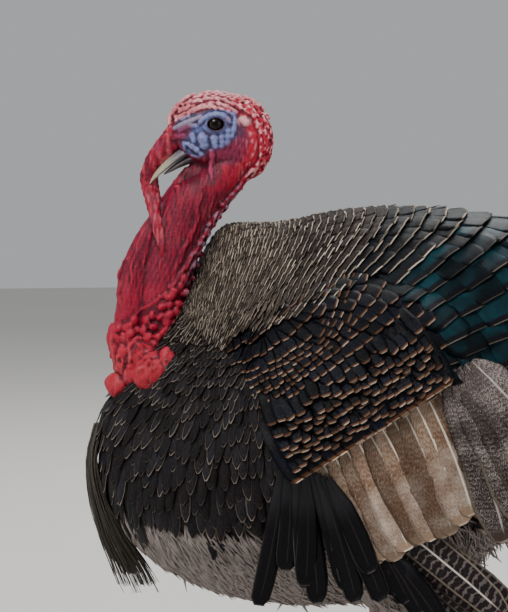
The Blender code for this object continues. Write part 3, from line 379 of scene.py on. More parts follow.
class Shape:
    """Points and faces of a mesh, collected piece by piece."""

    def __init__(self):
        self.points = []
        self.faces = []

    def add(self, points, faces):
        first = len(self.points)
        self.points.extend(tuple(point) for point in points)
        self.faces.extend(tuple(first + corner for corner in face) for face in faces)

    def add_rings(self, rings):
        """A closed body through rings of equal count, with a pole at both ends."""
        sides = len(rings[0])
        points = [point for ring in rings for point in ring]
        faces = []
        for row in range(len(rings) - 1):
            for step in range(sides):
                after = (step + 1) % sides
                faces.append((row * sides + step, row * sides + after, (row + 1) * sides + after,
                    (row + 1) * sides + step))
        for row, flip in ((0, True), (len(rings) - 1, False)):
            pole = len(points)
            points.append(sum((Vector(point) for point in rings[row]), Vector()) / sides)
            for step in range(sides):
                face = (row * sides + step, row * sides + (step + 1) % sides, pole)
                faces.append(face[::-1] if flip else face)
        self.add(points, faces)

    def add_ovals(self, stations, count, sides, square=2.0, low=0.0):
        """A body through ovals given by top x, top z, bottom x, bottom z and half width."""
        rings = []
        for top_x, top_z, low_x, low_z, half_width in between(stations, count):
            centre = Vector(((top_x + low_x) / 2, 0, (top_z + low_z) / 2))
            up = Vector(((top_x - low_x) / 2, 0, (top_z - low_z) / 2))
            ring = []
            for step in range(sides):
                angle = tau * step / sides
                rise = copysign(abs(cos(angle)) ** (2 / square), cos(angle))
                out = copysign(abs(sin(angle)) ** (2 / square), sin(angle))
                ring.append(centre + up * (rise - low * out * out) + Vector((0, half_width * out, 0)))
            rings.append(ring)
        self.add_rings(rings)

    def add_tube(self, centres, radii, sides, across=(0, 1, 0), flat=1.0):
        """A body round a bent middle line; flat scales it along its side direction."""
        centres = [Vector(centre) for centre in centres]
        last = len(centres) - 1
        rings = []
        for index, centre in enumerate(centres):
            along = (centres[min(index + 1, last)] - centres[max(index - 1, 0)]).normalized()
            side = Vector(across)
            side = (side - along * side.dot(along)).normalized()
            up = along.cross(side)
            rings.append([centre + (side * cos(turn) * flat + up * sin(turn)) * float(radii[index]) for
                turn in (tau * step / sides for step in range(sides))])
        self.add_rings(rings)

    def add_ball(self, centre, half_sizes, tilt=0.0, sides=20, rings=12):
        """An egg whose long side is tilted in side view."""
        turn = Matrix.Rotation(-radians(tilt), 3, "Y")
        rows = []
        for row in range(1, rings):
            angle = pi * row / rings
            rows.append([Vector(centre) + turn @ Vector((half_sizes[0] * cos(angle), half_sizes[1] *
                sin(angle) * cos(tau * step / sides), half_sizes[2] * sin(angle) *
                sin(tau * step / sides))) for step in range(sides)])
        self.add_rings(rows)

    def tree(self):
        return BVHTree.FromPolygons(self.points, self.faces)

    def object(self, name):
        """The shape as an object of the scene, moved into the part's frame."""
        mesh = bpy.data.meshes.new(name)
        mesh.from_pydata([bird(point) for point in self.points], [], self.faces)
        work = bmesh.new()
        work.from_mesh(mesh)
        bmesh.ops.recalc_face_normals(work, faces=work.faces)
        work.to_mesh(mesh)
        work.free()
        return add_object(name, mesh)


def add_object(name, mesh):
    obj = bpy.data.objects.new(name, mesh)
    bpy.context.scene.collection.objects.link(obj)
    mesh.shade_smooth()
    return obj


def applied(obj):
    """The object's evaluated mesh as its own, with no modifier left."""
    bpy.context.view_layer.update()
    source = obj.evaluated_get(bpy.context.evaluated_depsgraph_get())
    mesh = bpy.data.meshes.new_from_object(source)
    obj.modifiers.clear()
    old, obj.data = obj.data, mesh
    bpy.data.meshes.remove(old)
    mesh.name = obj.name
    mesh.shade_smooth()
    return obj


def fused(obj, voxel):
    """Fuses all bodies of an object into one closed surface."""
    modifier = obj.modifiers.new("Fuse", "REMESH")
    modifier.mode = "VOXEL"
    modifier.voxel_size = voxel
    modifier.use_smooth_shade = True
    return applied(obj)


def dressed(obj, finish, slot, *nodes):
    """Gives a piece its finish and puts it in the place of the part's nodes; the slot is not used."""
    if finish:
        obj.data.materials.append(finish)
    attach(obj, "root")
    if nodes:
        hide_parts(*nodes)
    return obj


def set_tint(mesh, rows):
    """Stores one colour for each vertex."""
    layer = mesh.attributes.new("tint", "FLOAT_COLOR", "POINT")
    layer.data.foreach_set("color", np.column_stack([rows, np.ones(len(rows))]).ravel())


def cloud_object(name, spots, turns, sizes):
    """Loose points of the part's frame that store how a shape on them is turned and sized."""
    mesh = bpy.data.meshes.new(name)
    mesh.from_pydata(spots, [], [])
    for key, rows in (("turn", turns), ("size", sizes)):
        layer = mesh.attributes.new(key, "FLOAT_VECTOR", "POINT")
        layer.data.foreach_set("vector", [part for row in rows for part in row])
    return add_object(name, mesh)


def model_of(name, shape):
    """A shape as the object that is copied to a cloud's points, not moved."""
    mesh = bpy.data.meshes.new(name)
    mesh.from_pydata(shape.points, [], shape.faces)
    return add_object(name, mesh)


def along_surface(way, normal):
    return (way - normal * way.dot(normal)).normalized()


def coordinates(mesh):
    values = np.empty(len(mesh.vertices) * 3)
    mesh.vertices.foreach_get("co", values)
    return values.reshape(-1, 3)


def normals(mesh):
    values = np.empty(len(mesh.vertices) * 3)
    mesh.vertices.foreach_get("normal", values)
    return values.reshape(-1, 3)


def averaged(mesh, values, rounds):
    """Values of the vertices, evened out with those of their neighbours."""
    edges = np.empty(len(mesh.edges) * 2, dtype=int)
    mesh.edges.foreach_get("vertices", edges)
    one, two = edges.reshape(-1, 2).T
    count = np.bincount(one, minlength=len(values)) + np.bincount(two, minlength=len(values))
    for _ in range(rounds):
        total = np.zeros_like(values)
        np.add.at(total, one, values[two])
        np.add.at(total, two, values[one])
        values = total / count[:, None]
    return values


def place_vertices(mesh, points):
    mesh.vertices.foreach_set("co", np.ascontiguousarray(points, dtype=np.float32).ravel())
    mesh.update()


def triangles(mesh):
    mesh.calc_loop_triangles()
    values = np.empty(len(mesh.loop_triangles) * 3, dtype=int)
    mesh.loop_triangles.foreach_get("vertices", values)
    return values.reshape(-1, 3)


class Value:
    """A shader socket that numbers can be worked out with."""

    def __init__(self, recipe, socket):
        self.recipe = recipe
        self.socket = socket

    def _math(self, operation, *others, first=None):
        start = self if first is None else first
        return self.recipe.node("ShaderNodeMath", {"operation": operation},
            dict(enumerate((start,) + others)))

    def __add__(self, other):
        return self._math("ADD", other)

    __radd__ = __add__

    def __sub__(self, other):
        return self._math("SUBTRACT", other)

    def __rsub__(self, other):
        return self._math("SUBTRACT", self, first=other)

    def __mul__(self, other):
        return self._math("MULTIPLY", other)

    __rmul__ = __mul__

    def __pow__(self, other):
        return self._math("POWER", other)

    def sine(self):
        return self._math("SINE")

    def size(self):
        return self._math("ABSOLUTE")

    def larger(self, other):
        return self._math("MAXIMUM", other)

    def step(self, low, high):
        """Zero below low, one above high, soft between; low may be the larger one."""
        return self.recipe.node("ShaderNodeMapRange", {"interpolation_type": "SMOOTHSTEP"}, {"Value":
            self, "From Min": low, "From Max": high})


class Recipe:
    """A material that is built node by node."""

    def __init__(self, name):
        self.material = bpy.data.materials.new(name)
        self.material.use_nodes = True
        self.tree = self.material.node_tree
        self.tree.nodes.clear()

    def node(self, kind, settings=None, inputs=None, output=0):
        node = self.tree.nodes.new(kind)
        for key, setting in (settings or {}).items():
            setattr(node, key, setting)
        for key, given in (inputs or {}).items():
            socket = node.inputs[key]
            if isinstance(given, Value):
                self.tree.links.new(given.socket, socket)
            elif hasattr(socket.default_value, "__len__") and len(socket.default_value) == 4:
                socket.default_value = (*given, 1.0)[:4]
            else:
                socket.default_value = given
        return Value(self, node.outputs[output] if node.outputs else None)

    def split(self, vector):
        parts = self.node("ShaderNodeSeparateXYZ", None, {0: vector})
        node = parts.socket.node
        return [Value(self, node.outputs[index]) for index in range(3)]

    def uv(self, name):
        return self.node("ShaderNodeUVMap", {"uv_map": name})

    def place(self):
        return self.node("ShaderNodeTexCoord", output=3)

    def noise(self, vector, scale, detail=3.0, roughness=0.55):
        return self.node("ShaderNodeTexNoise", None, {"Vector": vector, "Scale": scale, "Detail": detail,
            "Roughness": roughness})

    def scaled(self, vector, factors):
        return self.node("ShaderNodeVectorMath", {"operation": "MULTIPLY"}, {0: vector, 1: factors})

    def mix(self, share, low, high, way="MIX"):
        return self.node("ShaderNodeMix", {"data_type": "RGBA", "blend_type": way},
            {0: share, 6: low, 7: high}, output=2)

    def toned(self, shade, tone):
        """The shade times a number."""
        grey = self.node("ShaderNodeCombineXYZ", None, {0: tone, 1: tone, 2: tone})
        return self.mix(1.0, shade, grey, "MULTIPLY")

    def bump(self, height, distance, strength=1.0):
        return self.node("ShaderNodeBump", None, {"Height": height, "Distance": distance, "Strength":
            strength})

    def finish(self, constants, **inputs):
        """The Principled shader with its fixed sockets and its linked ones."""
        given = dict(constants)
        given.update({key.replace("_", " "): value for key, value in inputs.items()})
        shader = self.node("ShaderNodeBsdfPrincipled", None, given)
        self.node("ShaderNodeOutputMaterial", None, {"Surface": shader})
        return self.material


def feather_finish(name, main, band, rim, band_deep=0.004, rim_deep=0.0011, side_deep=0.0, sheen=None,
        sheen_share=0.0, root=None, shaft=None, bars=None, mottle=None, roughness=0.5, spread=0.35,
        streaks=0.0, paler=None, grain_along=(420.0, 1100.0, 1.0), marks_from=0.6):
    """Vane with down at its root, a dark band, a pale rim, barbs, a painted sheen, and what marks its
    kind.

    Depths are metres from the tip; the reach map holds the distances to side edge and tip.
    """
    recipe = Recipe(name)
    u, v, _ = recipe.split(recipe.uv("vane"))
    luck, wild, _ = recipe.split(recipe.uv("trait"))
    surface = recipe.uv("reach")
    side, left, _ = recipe.split(surface)
    across = (u * 2 - 1).size()
    grain = recipe.noise(recipe.scaled(surface, (900.0, 300.0, 1.0)), 1.0, 2.0)
    hairs = recipe.noise(recipe.scaled(surface, (2600.0, 340.0, 1.0)), 1.0, 2.0)
    patch = recipe.noise(recipe.place(), 38.0, 2.0)
    shade = recipe.mix(v.step(0.1, 0.5), root or [part * 2.0 + 0.012 for part in main], main)
    dull = dim(rim, 0.5)
    # Painted light: the mantle's top near the neck is made paler, as lit from above; the rims also turn
    # dimmer towards the rear.
    if paler:
        start, end, pale = paler
        x, _, z = recipe.split(recipe.place())
        near = (x + (patch - 0.5) * 0.06).step(end - MIDDLE_X, start - MIDDLE_X)
        near = near * (z + (patch - 0.5) * 0.03).step(0.452, 0.482)
        shade = recipe.mix(near, shade, pale)
        band = recipe.mix(near, band, dim(pale, 0.22))
        rim = recipe.mix((x + (patch - 0.5) * 0.06).step(-0.01 - MIDDLE_X, -0.085 - MIDDLE_X), rim,
            dim(rim, 0.62))
    if mottle:
        cells = recipe.noise(recipe.scaled(surface, grain_along), 1.0, 4.0, 0.75)
        ripple = (left * 1400 + side * 500 + cells * 34).sine()
        marks = (ripple * 0.1 + cells * 1.7 + (patch - 0.5) * 0.7).step(marks_from, 1.15)
        shade = recipe.mix(marks, shade, mottle)
    if bars:
        period, pale, share = bars
        wave = (left * (tau / period) - across * 1.6 + luck * 6 + recipe.noise(surface, 160.0, 3.0) *
            9.0).sine()
        shade = recipe.mix(wave.step(share - 0.22, share + 0.22), shade, pale)
    # Painted sheen: teal and blue reflections put into the colour in patches; the panel feathers use the
    # same mix for whitish patches.
    if sheen:
        glow = (patch.step(0.36, 0.64) * 0.5 + luck * 0.5) * sheen_share
        glow = glow * (0.4 + hairs * 1.2)
        shade = recipe.mix(glow * v.step(0.35, 0.6), shade, sheen)
    if streaks:
        shade = recipe.mix(hairs.step(0.55, 0.75) * streaks, shade, dull)
    if mottle:
        shade = recipe.mix(hairs.step(0.46, 0.3) * streaks * 0.8, shade, dim(main, 0.35))
    tip = left + (grain - 0.5) * (rim_deep * 1.2)
    shade = recipe.mix(tip.step(band_deep * 1.25, band_deep * 0.75), shade, band)
    edge = tip.step(rim_deep * 1.25, rim_deep * 0.8)
    if side_deep:
        edge = edge.larger((side + (grain - 0.5) * side_deep).step(side_deep * 1.2, side_deep * 0.6) *
            v.step(0.45, 0.62))
    rim_shade = recipe.mix(wild * 0.8, rim, dull)
    shade = recipe.mix(edge * (0.22 + luck * 0.78), shade, rim_shade)
    if shaft:
        stem = across.step(0.075, 0.03) * v.step(0.97, 0.88)
        shade = recipe.mix(stem, shade, shaft)
    tone = 1.0 - spread / 2 + luck * spread + (grain - 0.5) * 0.6 + (hairs - 0.5) * 0.5
    shade = recipe.toned(shade, tone)
    barbs = (left * 4200 + side * 3000).sine()
    bump = recipe.bump(barbs * 0.4 + grain + hairs, 0.00022, 0.5)
    rough = roughness + (grain - 0.5) * 0.2 + edge * 0.15
    return recipe.finish({"Specular IOR Level": 0.06}, Base_Color=shade, Roughness=rough, Normal=bump)


def skin_finish(name):
    """Bare skin: its colours come from the places of its folds, its pores from noise."""
    recipe = Recipe(name)
    place = recipe.place()
    tint = recipe.node("ShaderNodeAttribute", {"attribute_name": "tint"})
    veins = recipe.noise(place, 260.0, 4.0, 0.65)
    pores = recipe.node("ShaderNodeTexVoronoi", {"feature": "F1"}, {"Vector": place, "Scale": 900.0})
    shade = recipe.toned(tint, 0.7 + veins * 0.6)
    shade = recipe.mix(recipe.noise(place, 900.0, 2.0).step(0.58, 0.74) * 0.14, shade, (0.7, 0.36, 0.38))
    bump = recipe.bump(pores * 0.5 + veins * 1.2, 0.0005, 0.5)
    return recipe.finish({"Subsurface Weight": 0.06, "Subsurface Radius": (0.004, 0.001, 0.001),
        "Subsurface Scale": 1.0, "Specular IOR Level": 0.22}, Base_Color=shade, Roughness=0.56 - veins *
        0.12 + pores * 0.06, Normal=bump)


def horn_finish(name, base, tip, tip_from, tip_to):
    """Horn whose colour turns from base to tip along X, with fine growth lines."""
    recipe = Recipe(name)
    place = recipe.place()
    x, _, z = recipe.split(place)
    streaks = recipe.noise(recipe.scaled(place, (240.0, 900.0, 900.0)), 1.0, 3.0)
    shade = recipe.mix(x.step(tip_from - MIDDLE_X, tip_to - MIDDLE_X), base, tip)
    shade = recipe.mix(streaks.step(0.35, 0.75) * 0.45, shade, (0.09, 0.085, 0.075))
    bump = recipe.bump(streaks + (z * 5200).sine() * 0.1, 0.0003, 0.4)
    return recipe.finish({"Specular IOR Level": 0.5, "Coat Weight": 0.1}, Base_Color=shade, Roughness=0.3
        + streaks * 0.2, Normal=bump)


def scale_finish(name, shade):
    """Scaled skin of shank and toes."""
    recipe = Recipe(name)
    place = recipe.place()
    cells = recipe.node("ShaderNodeTexVoronoi", {"feature": "DISTANCE_TO_EDGE"},
        {"Vector": place, "Scale": 330.0})
    veins = recipe.noise(place, 140.0, 4.0)
    tint = recipe.node("ShaderNodeAttribute", {"attribute_name": "tint"})
    base = recipe.toned(tint, 0.7 + veins * 0.6)
    base = recipe.mix(cells.step(0.1, 0.0) * 0.55, base, dim(shade, 0.3))
    bump = recipe.bump(cells.step(0.0, 0.16) + veins * 0.4, 0.0005, 0.6)
    return recipe.finish({"Specular IOR Level": 0.45}, Base_Color=base, Roughness=0.42 + veins * 0.22,
        Normal=bump)


def eye_finish(name):
    """Dark iris and pupil under a clear wet cornea, round the eye's own axis."""
    recipe = Recipe(name)
    x, y, z = recipe.split(recipe.place())
    away = ((x - (EYE.x - MIDDLE_X)) ** 2.0 + (z - EYE.z) ** 2.0) ** 0.5
    rays = recipe.noise(recipe.scaled(recipe.place(), (900.0, 120.0, 900.0)), 1.0, 3.0)
    iris = recipe.mix(rays, (0.006, 0.0022, 0.0018), (0.02, 0.008, 0.005))
    shade = recipe.mix(away.step(0.0036, 0.0031), iris, (0.001, 0.001, 0.001))
    shade = recipe.mix(away.step(0.0056, 0.0066), shade, (0.003, 0.002, 0.002))
    return recipe.finish({"Coat Weight": 0.16, "Coat Roughness": 0.04, "Specular IOR Level": 0.1},
        Base_Color=shade, Roughness=0.15 + rays * 0.1)


def plain_finish(name, low, high, scale, roughness):
    """One colour varied by noise."""
    recipe = Recipe(name)
    grain = recipe.noise(recipe.place(), scale, 4.0)
    return recipe.finish({"Specular IOR Level": 0.4}, Base_Color=recipe.mix(grain, low, high),
        Roughness=roughness + grain * 0.15, Normal=recipe.bump(grain, 0.0004, 0.5))


def node_tree(name, given, nodes, links):
    """A tree that ends in real geometry with its finish; links are written as out > in."""
    tree = bpy.data.node_groups.new(name, "GeometryNodeTree")
    for label, kind in given + (("Growth", "Float"), ("Finish", "Material")):
        tree.interface.new_socket(label, in_out="INPUT", socket_type="NodeSocket" + kind)
    tree.interface.new_socket("Made", in_out="OUTPUT", socket_type="NodeSocketGeometry")
    made = {}
    for label, kind, settings in nodes + (
            ("given", "NodeGroupInput", {}), ("real", "GeometryNodeRealizeInstances", {}),
            ("paint", "GeometryNodeSetMaterial", {}), ("out", "NodeGroupOutput", {})):
        node = made[label] = tree.nodes.new(kind)
        for key, setting in settings.items():
            if key in node.inputs:
                node.inputs[key].default_value = setting
            else:
                setattr(node, key, setting)
    for line in links + ("real.Geometry > paint.Geometry", "given.Finish > paint.Material",
            "paint.Geometry > out.Made"):
        (start, out), (end, into) = (place.split(".") for place in line.split(" > "))
        tree.links.new(made[start].outputs[int(out) if out.isdigit() else out],
            made[end].inputs[int(into) if into.isdigit() else into])


def scatter_tree():
    """Puts a copy of one shape on every point, turned and sized by the point's own values."""
    node_tree("Turkey scatter", (("Points", "Geometry"), ("Shape", "Object")), (
        ("shape", "GeometryNodeObjectInfo", {}),
        ("turn", "GeometryNodeInputNamedAttribute", {"data_type": "FLOAT_VECTOR", "Name": "turn"}),
        ("size", "GeometryNodeInputNamedAttribute", {"data_type": "FLOAT_VECTOR", "Name": "size"}),
        ("euler", "FunctionNodeEulerToRotation", {}),
        ("grow", "ShaderNodeVectorMath", {"operation": "SCALE"}),
        ("put", "GeometryNodeInstanceOnPoints", {}),
    ), (
        "given.Shape > shape.Object", "given.Points > put.Points", "shape.Geometry > put.Instance",
        "turn.Attribute > euler.Euler", "euler.Rotation > put.Rotation",
        "size.Attribute > grow.0", "given.Growth > grow.Scale", "grow.0 > put.Scale",
        "put.Instances > real.Geometry"))


def strand_tree():
    """Gives every chain of edges a round section of the radius stored on its points."""
    node_tree("Turkey strands", (("Chains", "Geometry"), ("Sides", "Int")), (
        ("curve", "GeometryNodeMeshToCurve", {}),
        ("width", "GeometryNodeInputNamedAttribute", {"data_type": "FLOAT", "Name": "width"}),
        ("grow", "ShaderNodeMath", {"operation": "MULTIPLY"}),
        ("radius", "GeometryNodeSetCurveRadius", {}),
        ("round", "GeometryNodeCurvePrimitiveCircle", {"Radius": 1.0}),
        ("tube", "GeometryNodeCurveToMesh", {"Fill Caps": True}),
    ), (
        "given.Chains > curve.Mesh", "curve.Curve > radius.Curve", "width.Attribute > grow.0",
        "given.Growth > grow.1", "grow.0 > radius.Radius", "radius.Curve > tube.Curve",
        "given.Sides > round.Resolution", "round.Curve > tube.Profile Curve",
        "grow.0 > tube.Scale", "tube.Mesh > real.Geometry"))


def grown(obj, tree, **given):
    """Runs a node tree on the object and keeps the result as its plain mesh."""
    modifier = obj.modifiers.new("Grow", "NODES")
    modifier.node_group = tree
    for item in tree.interface.items_tree:
        if item.item_type == "SOCKET" and item.in_out == "INPUT" and item.name in given:
            modifier[item.identifier] = given[item.name]
    return applied(obj)


class Plumage:
    """Feathers as closed thin vanes, collected and then joined into one mesh."""

    def __init__(self, outline, thickness, camber=0.12, ribs=2):
        self.outline = outline
        self.thickness = thickness
        self.camber = camber
        half = [step / ribs for step in range(-ribs, ribs + 1)]
        self.across = np.array([copysign(abs(place) ** 0.85, place) for place in half])
        self.rows = []

    def lay(self, track, length, width, lifts, luck, roll=0.0, bake=None):
        """One feather: track gives a centre, normal and side for each row of its outline."""
        patch = bake or around_body(track[0][0])
        self.rows.append((track, length, width, lifts, luck, roll, patch))

    def build(self, name, finish, slot):
        count, rings, ribs = len(self.rows), len(self.outline), len(self.across)
        share = np.array([row[0] for row in self.outline])
        wide = np.array([row[1] for row in self.outline])
        track = np.array([[[tuple(part) for part in ring] for ring in row[0]] for row in self.rows])
        centre, normal, side = track[:, :, 0], track[:, :, 1], track[:, :, 2]
        length = np.array([row[1] for row in self.rows])[:, None]
        half = np.array([row[2] for row in self.rows])[:, None] / 2 * wide
        lifts = np.array([row[3] for row in self.rows])
        lift = lifts[:, :1] + (lifts[:, 1:] - lifts[:, :1]) * share
        luck = np.array([row[4] for row in self.rows])
        roll = np.array([row[5] for row in self.rows])[:, None, None]
        patch = np.array([row[6] for row in self.rows])
        draw = np.random.default_rng(len(name) * 7 + count)
        half = half * draw.uniform(0.92, 1.08, half.shape)
        across = self.across[None, None, :]
        bow = -self.camber * across ** 2 + roll * across
        top = (centre[:, :, None] + side[:, :, None] * (half[:, :, None] * across)[..., None] +
            normal[:, :, None] * (lift[:, :, None] + bow * half[:, :, None])[..., None])
        thick = self.thickness * (1 - 0.6 * share ** 2)
        under = centre + normal * (lift - thick)[..., None]
        points = np.concatenate([top, under[:, :, None]], axis=2)
        ring = ribs + 1
        quads = []
        for row in range(rings - 1):
            for step in range(ring):
                after = (step + 1) % ring
                quads.append((row * ring + step, row * ring + after, (row + 1) * ring + after, (row + 1) *
                    ring + step))
        for row in (0, rings - 1):
            for step in range(0, ribs - 1, 2):
                quad = (row * ring + step, row * ring + step + 1, row * ring + step + 2, row * ring +
                    ribs)
                quads.append(quad if row == 0 else quad[::-1])
        quads = np.array(quads)[:, ::-1]
        faces = (quads[None] + (np.arange(count) * rings * ring)[:, None, None]).reshape(-1, 4)
        mesh = bpy.data.meshes.new(name)
        mesh.vertices.add(count * rings * ring)
        place_vertices(mesh, points.reshape(-1, 3) - np.array((MIDDLE_X, 0, 0)))
        mesh.loops.add(faces.size)
        mesh.loops.foreach_set("vertex_index", faces.ravel())
        mesh.polygons.add(len(faces))
        mesh.polygons.foreach_set("loop_start", np.arange(len(faces)) * 4)
        mesh.polygons.foreach_set("loop_total", np.full(len(faces), 4))
        mesh.update(calc_edges=True)
        u = np.append((self.across + 1) / 2, 0.5)
        shape = (count, rings, ring)
        vane = np.stack([np.broadcast_to(u, shape), np.broadcast_to(share[None, :, None], shape)],
            axis=-1)
        reach = np.stack([half[:, :, None] * (1 - abs(u * 2 - 1)),
            np.broadcast_to((length * (1 - share))[..., None], shape)], axis=-1)
        trait = np.broadcast_to(luck[:, None, None], shape + (2,))
        bake = patch[:, None, None] + (vane - 0.5) * BAKE_PATCH
        for map_name, values in (("OFBake", bake), ("vane", vane), ("reach", reach), ("trait", trait)):
            layer = mesh.uv_layers.new(name=map_name)
            flat = values.reshape(-1, 2)[faces.ravel()]
            layer.uv.foreach_set("vector", flat.astype(np.float32).ravel())
        return dressed(add_object(name, mesh), finish, slot)


def around_body(place):
    """Unwrap of the body: how far along it a root is, and the turn round its middle line."""
    x, y, z = place
    along = (x + 0.2) / 0.6
    turn = atan2(y, z - (0.4 + 0.1 * along)) / tau + 0.5
    return (0.02 + 0.94 * min(max(along, 0.0), 1.0), 0.02 + 0.96 * turn)


class Ground:
    """The closed shape that the coat is laid over, just inside its tips."""

    def __init__(self, mesh):
        self.points = coordinates(mesh) + np.array((MIDDLE_X, 0, 0))
        self.faces = triangles(mesh)
        self.soft = normals(mesh)
        self.tree = BVHTree.FromPolygons(self.points.tolist(), self.faces.tolist())

    def near(self, place):
        spot, normal, index, _ = self.tree.find_nearest(place)
        corners = self.faces[index]
        weights = [1.0 / (1e-5 + (Vector(self.points[corner]) - spot).length) for corner in corners]
        soft = sum((Vector(self.soft[corner]) * weight for corner, weight in zip(corners, weights)),
            Vector())
        return spot, soft.normalized()

    def track(self, tip, heading, length, outline):
        """Centres, normals and sides of a feather that ends at its tip, laid over the ground."""
        place, normal = self.near(tip)
        heading = along_surface(heading, normal)
        found = []
        gone = 1.0
        for share, _ in reversed(outline):
            back = (gone - share) * length
            gone = share
            if back:
                place, normal = self.near(place - heading * back)
                heading = along_surface(heading, normal)
            found.append((place, normal, normal.cross(heading)))
        return found[::-1]

    def beside(self, x, z, sign):
        """The outermost place on one side of the ground, by its place in side view."""
        return self.tree.ray_cast(Vector((x, sign * 0.5, z)), Vector((0, -sign, 0)))[0]

    def contours(self, values, level):
        """Chains of points where the values of the ground's vertices pass a level."""
        high = values > level
        crossing = self.faces[(high[self.faces].sum(axis=1) % 3) != 0]
        spots = {}
        links = {}
        for face in crossing.tolist():
            keys = []
            for one, two in ((face[0], face[1]), (face[1], face[2]), (face[2], face[0])):
                if high[one] != high[two]:
                    key = (min(one, two), max(one, two))
                    if key not in spots:
                        share = (level - values[key[0]]) / (values[key[1]] - values[key[0]])
                        spots[key] = (self.points[key[0]] * (1 - share) + self.points[key[1]] * share)
                    keys.append(key)
            links.setdefault(keys[0], []).append(keys[1])
            links.setdefault(keys[1], []).append(keys[0])
        chains = []
        while links:
            start = next(iter(links))
            chain = [start]
            for end in (0, -1):
                while True:
                    here = chain[end]
                    after = [key for key in links.get(here, ()) if key in links and key not in chain[:2] +
                        chain[-2:]]
                    if not after:
                        break
                    if end == 0:
                        chain.insert(0, after[0])
                    else:
                        chain.append(after[0])
                    if len(chain) > 3:
                        links.pop(here, None)
            for key in chain:
                links.pop(key, None)
            if len(chain) > 3:
                chains.append(np.array([spots[key] for key in chain]))
        return chains


def spaced(chain, spacing_of, start):
    """Points along a chain, as far apart as the spacing at each of them."""
    found = []
    wait = start * spacing_of(Vector(chain[0]))
    for one, two in zip(chain[:-1], chain[1:]):
        one, two = Vector(one), Vector(two)
        reach = (two - one).length
        gone = 0.0
        while reach and wait <= reach - gone:
            gone += wait
            place = one.lerp(two, gone / reach)
            found.append((place, (two - one).normalized()))
            wait = spacing_of(place)
        wait -= reach - gone
    return found


def torso_shape():
    shape = Shape()
    shape.add_ovals(TORSO_STATIONS, 60, 64, square=2.15, low=0.1)
    return shape


def thigh_track(sign, count):
    hip = Vector((THIGH_TOP[0], sign * (HIP_Y + 0.004), THIGH_TOP[1]))
    hock = Vector((HOCK[0], sign * HIP_Y, HOCK[1]))
    return [hip.lerp(hock, share) for share in np.linspace(0, 1, count)]


class Drape:
    """How far the wing's sheet stands from the mid plane at a place in side view."""

    def __init__(self):
        self.tree = torso_shape().tree()

    def half_width(self, x, z):
        sheet = FLIGHT_SHEET - 0.3 * max(0.0, x - 0.1) ** 2 - 0.05 * max(0.0, 0.34 - z)
        sheet -= 1.6 * max(0.0, z - 0.34) ** 2
        hit = self.tree.ray_cast(Vector((x, -1, z)), Vector((0, 1, 0)))[0]
        if hit is None:
            return sheet
        blend = 0.02
        overlap = max(blend - abs(sheet + hit.y), 0.0) / blend
        return max(sheet, -hit.y) + overlap * overlap * blend / 4


def smooth_outline(points, count):
    """Points round a closed smooth curve through the given corners."""
    closed = [points[-1]] + list(points) + list(points[:2])
    rows = between(closed, (len(closed) - 1) * 12 + 1)[12:-12]
    steps = np.linspace(0, len(rows) - 1, count, endpoint=False)
    return [rows[int(step)] for step in steps]


def wing_pad(shape, drape, sign, depth):
    """The wing's flesh and coverts as a pillow over the drape, sunk a little in the body."""
    outline = smooth_outline(WING_PAD, 64)
    middle = np.mean(outline, axis=0)
    levels = 9
    outer, inner = [], []
    for level in range(levels):
        share = cos(level / levels * pi / 2)
        rise = sin(level / levels * pi / 2) ** 0.8
        for ring, out in ((outer, 0.001 + depth * rise), (inner, -0.012)):
            row = []
            for point in outline:
                x, z = middle + (point - middle) * share
                row.append((x, sign * (drape.half_width(x, z) + out), z))
            ring.append(row)
    shape.add_rings(outer[::-1] + inner)


def coat_ground(sizes):
    shape = torso_shape()
    drape = Drape()
    for _, sign in SIDES:
        wing_pad(shape, drape, sign, 0.024)
        shape.add_tube(thigh_track(sign, 5), THIGH_RADII, 24)
    obj = fused(shape.object("coat_ground"), sizes.grain)
    place_vertices(obj.data, averaged(obj.data, coordinates(obj.data), 14))
    ground = Ground(obj.data)
    bpy.data.objects.remove(obj, do_unlink=True)
    return ground, drape


def back_turn(points):
    """Turn round the back's focus in degrees, from the neck down to the vent."""
    return np.degrees(np.arctan2(points[..., 2] - BACK_FOCUS[1], points[..., 0] - BACK_FOCUS[0]))


def breast_reach(points):
    return np.sqrt(BREAST_SQUASH * (points[..., 0] - BREAST_FOCUS[0]) ** 2 +
        (points[..., 2] - BREAST_FOCUS[1]) ** 2)


def in_breast(place):
    """Whether a place is in front of the line that parts breast and back."""
    edges, heights = zip(*BREAST_LINE[::-1])
    return place.x < np.interp(place.z, heights, edges)


def on_wing(place):
    return abs(place.y) > 0.1 and inside(WING_AREA, place.x, place.z)


def back_heading(place):
    """Backward and down, square to the ray from the back's focus."""
    out = Vector((place.x - BACK_FOCUS[0], 0, place.z - BACK_FOCUS[1])).normalized()
    return Vector((out.z, 0, -out.x))


def breast_heading(place):
    return Vector((BREAST_SQUASH * (place.x - BREAST_FOCUS[0]), 0, place.z -
        BREAST_FOCUS[1])).normalized()


def upper_place(place):
    """Whether a tip of the upper coat's rays belongs there."""
    near = hypot(place.x - BACK_FOCUS[0], place.z - BACK_FOCUS[1]) < 0.035
    if near or in_breast(place) or on_wing(place) or place.z < BREAST_HEM:
        return False
    below = place.z < np.interp(place.x, (-0.026, 0.105, 0.16), (0.337, 0.419, 0.4))
    return not (below and place.x < 0.15)


def coat_kind(turn, place):
    if turn > 42.5:
        return "mantle"
    if turn > 33:
        return "back"
    if turn < -14 or place.z < 0.34:
        return "flank"
    return "rump" if turn > 10 else "hem"


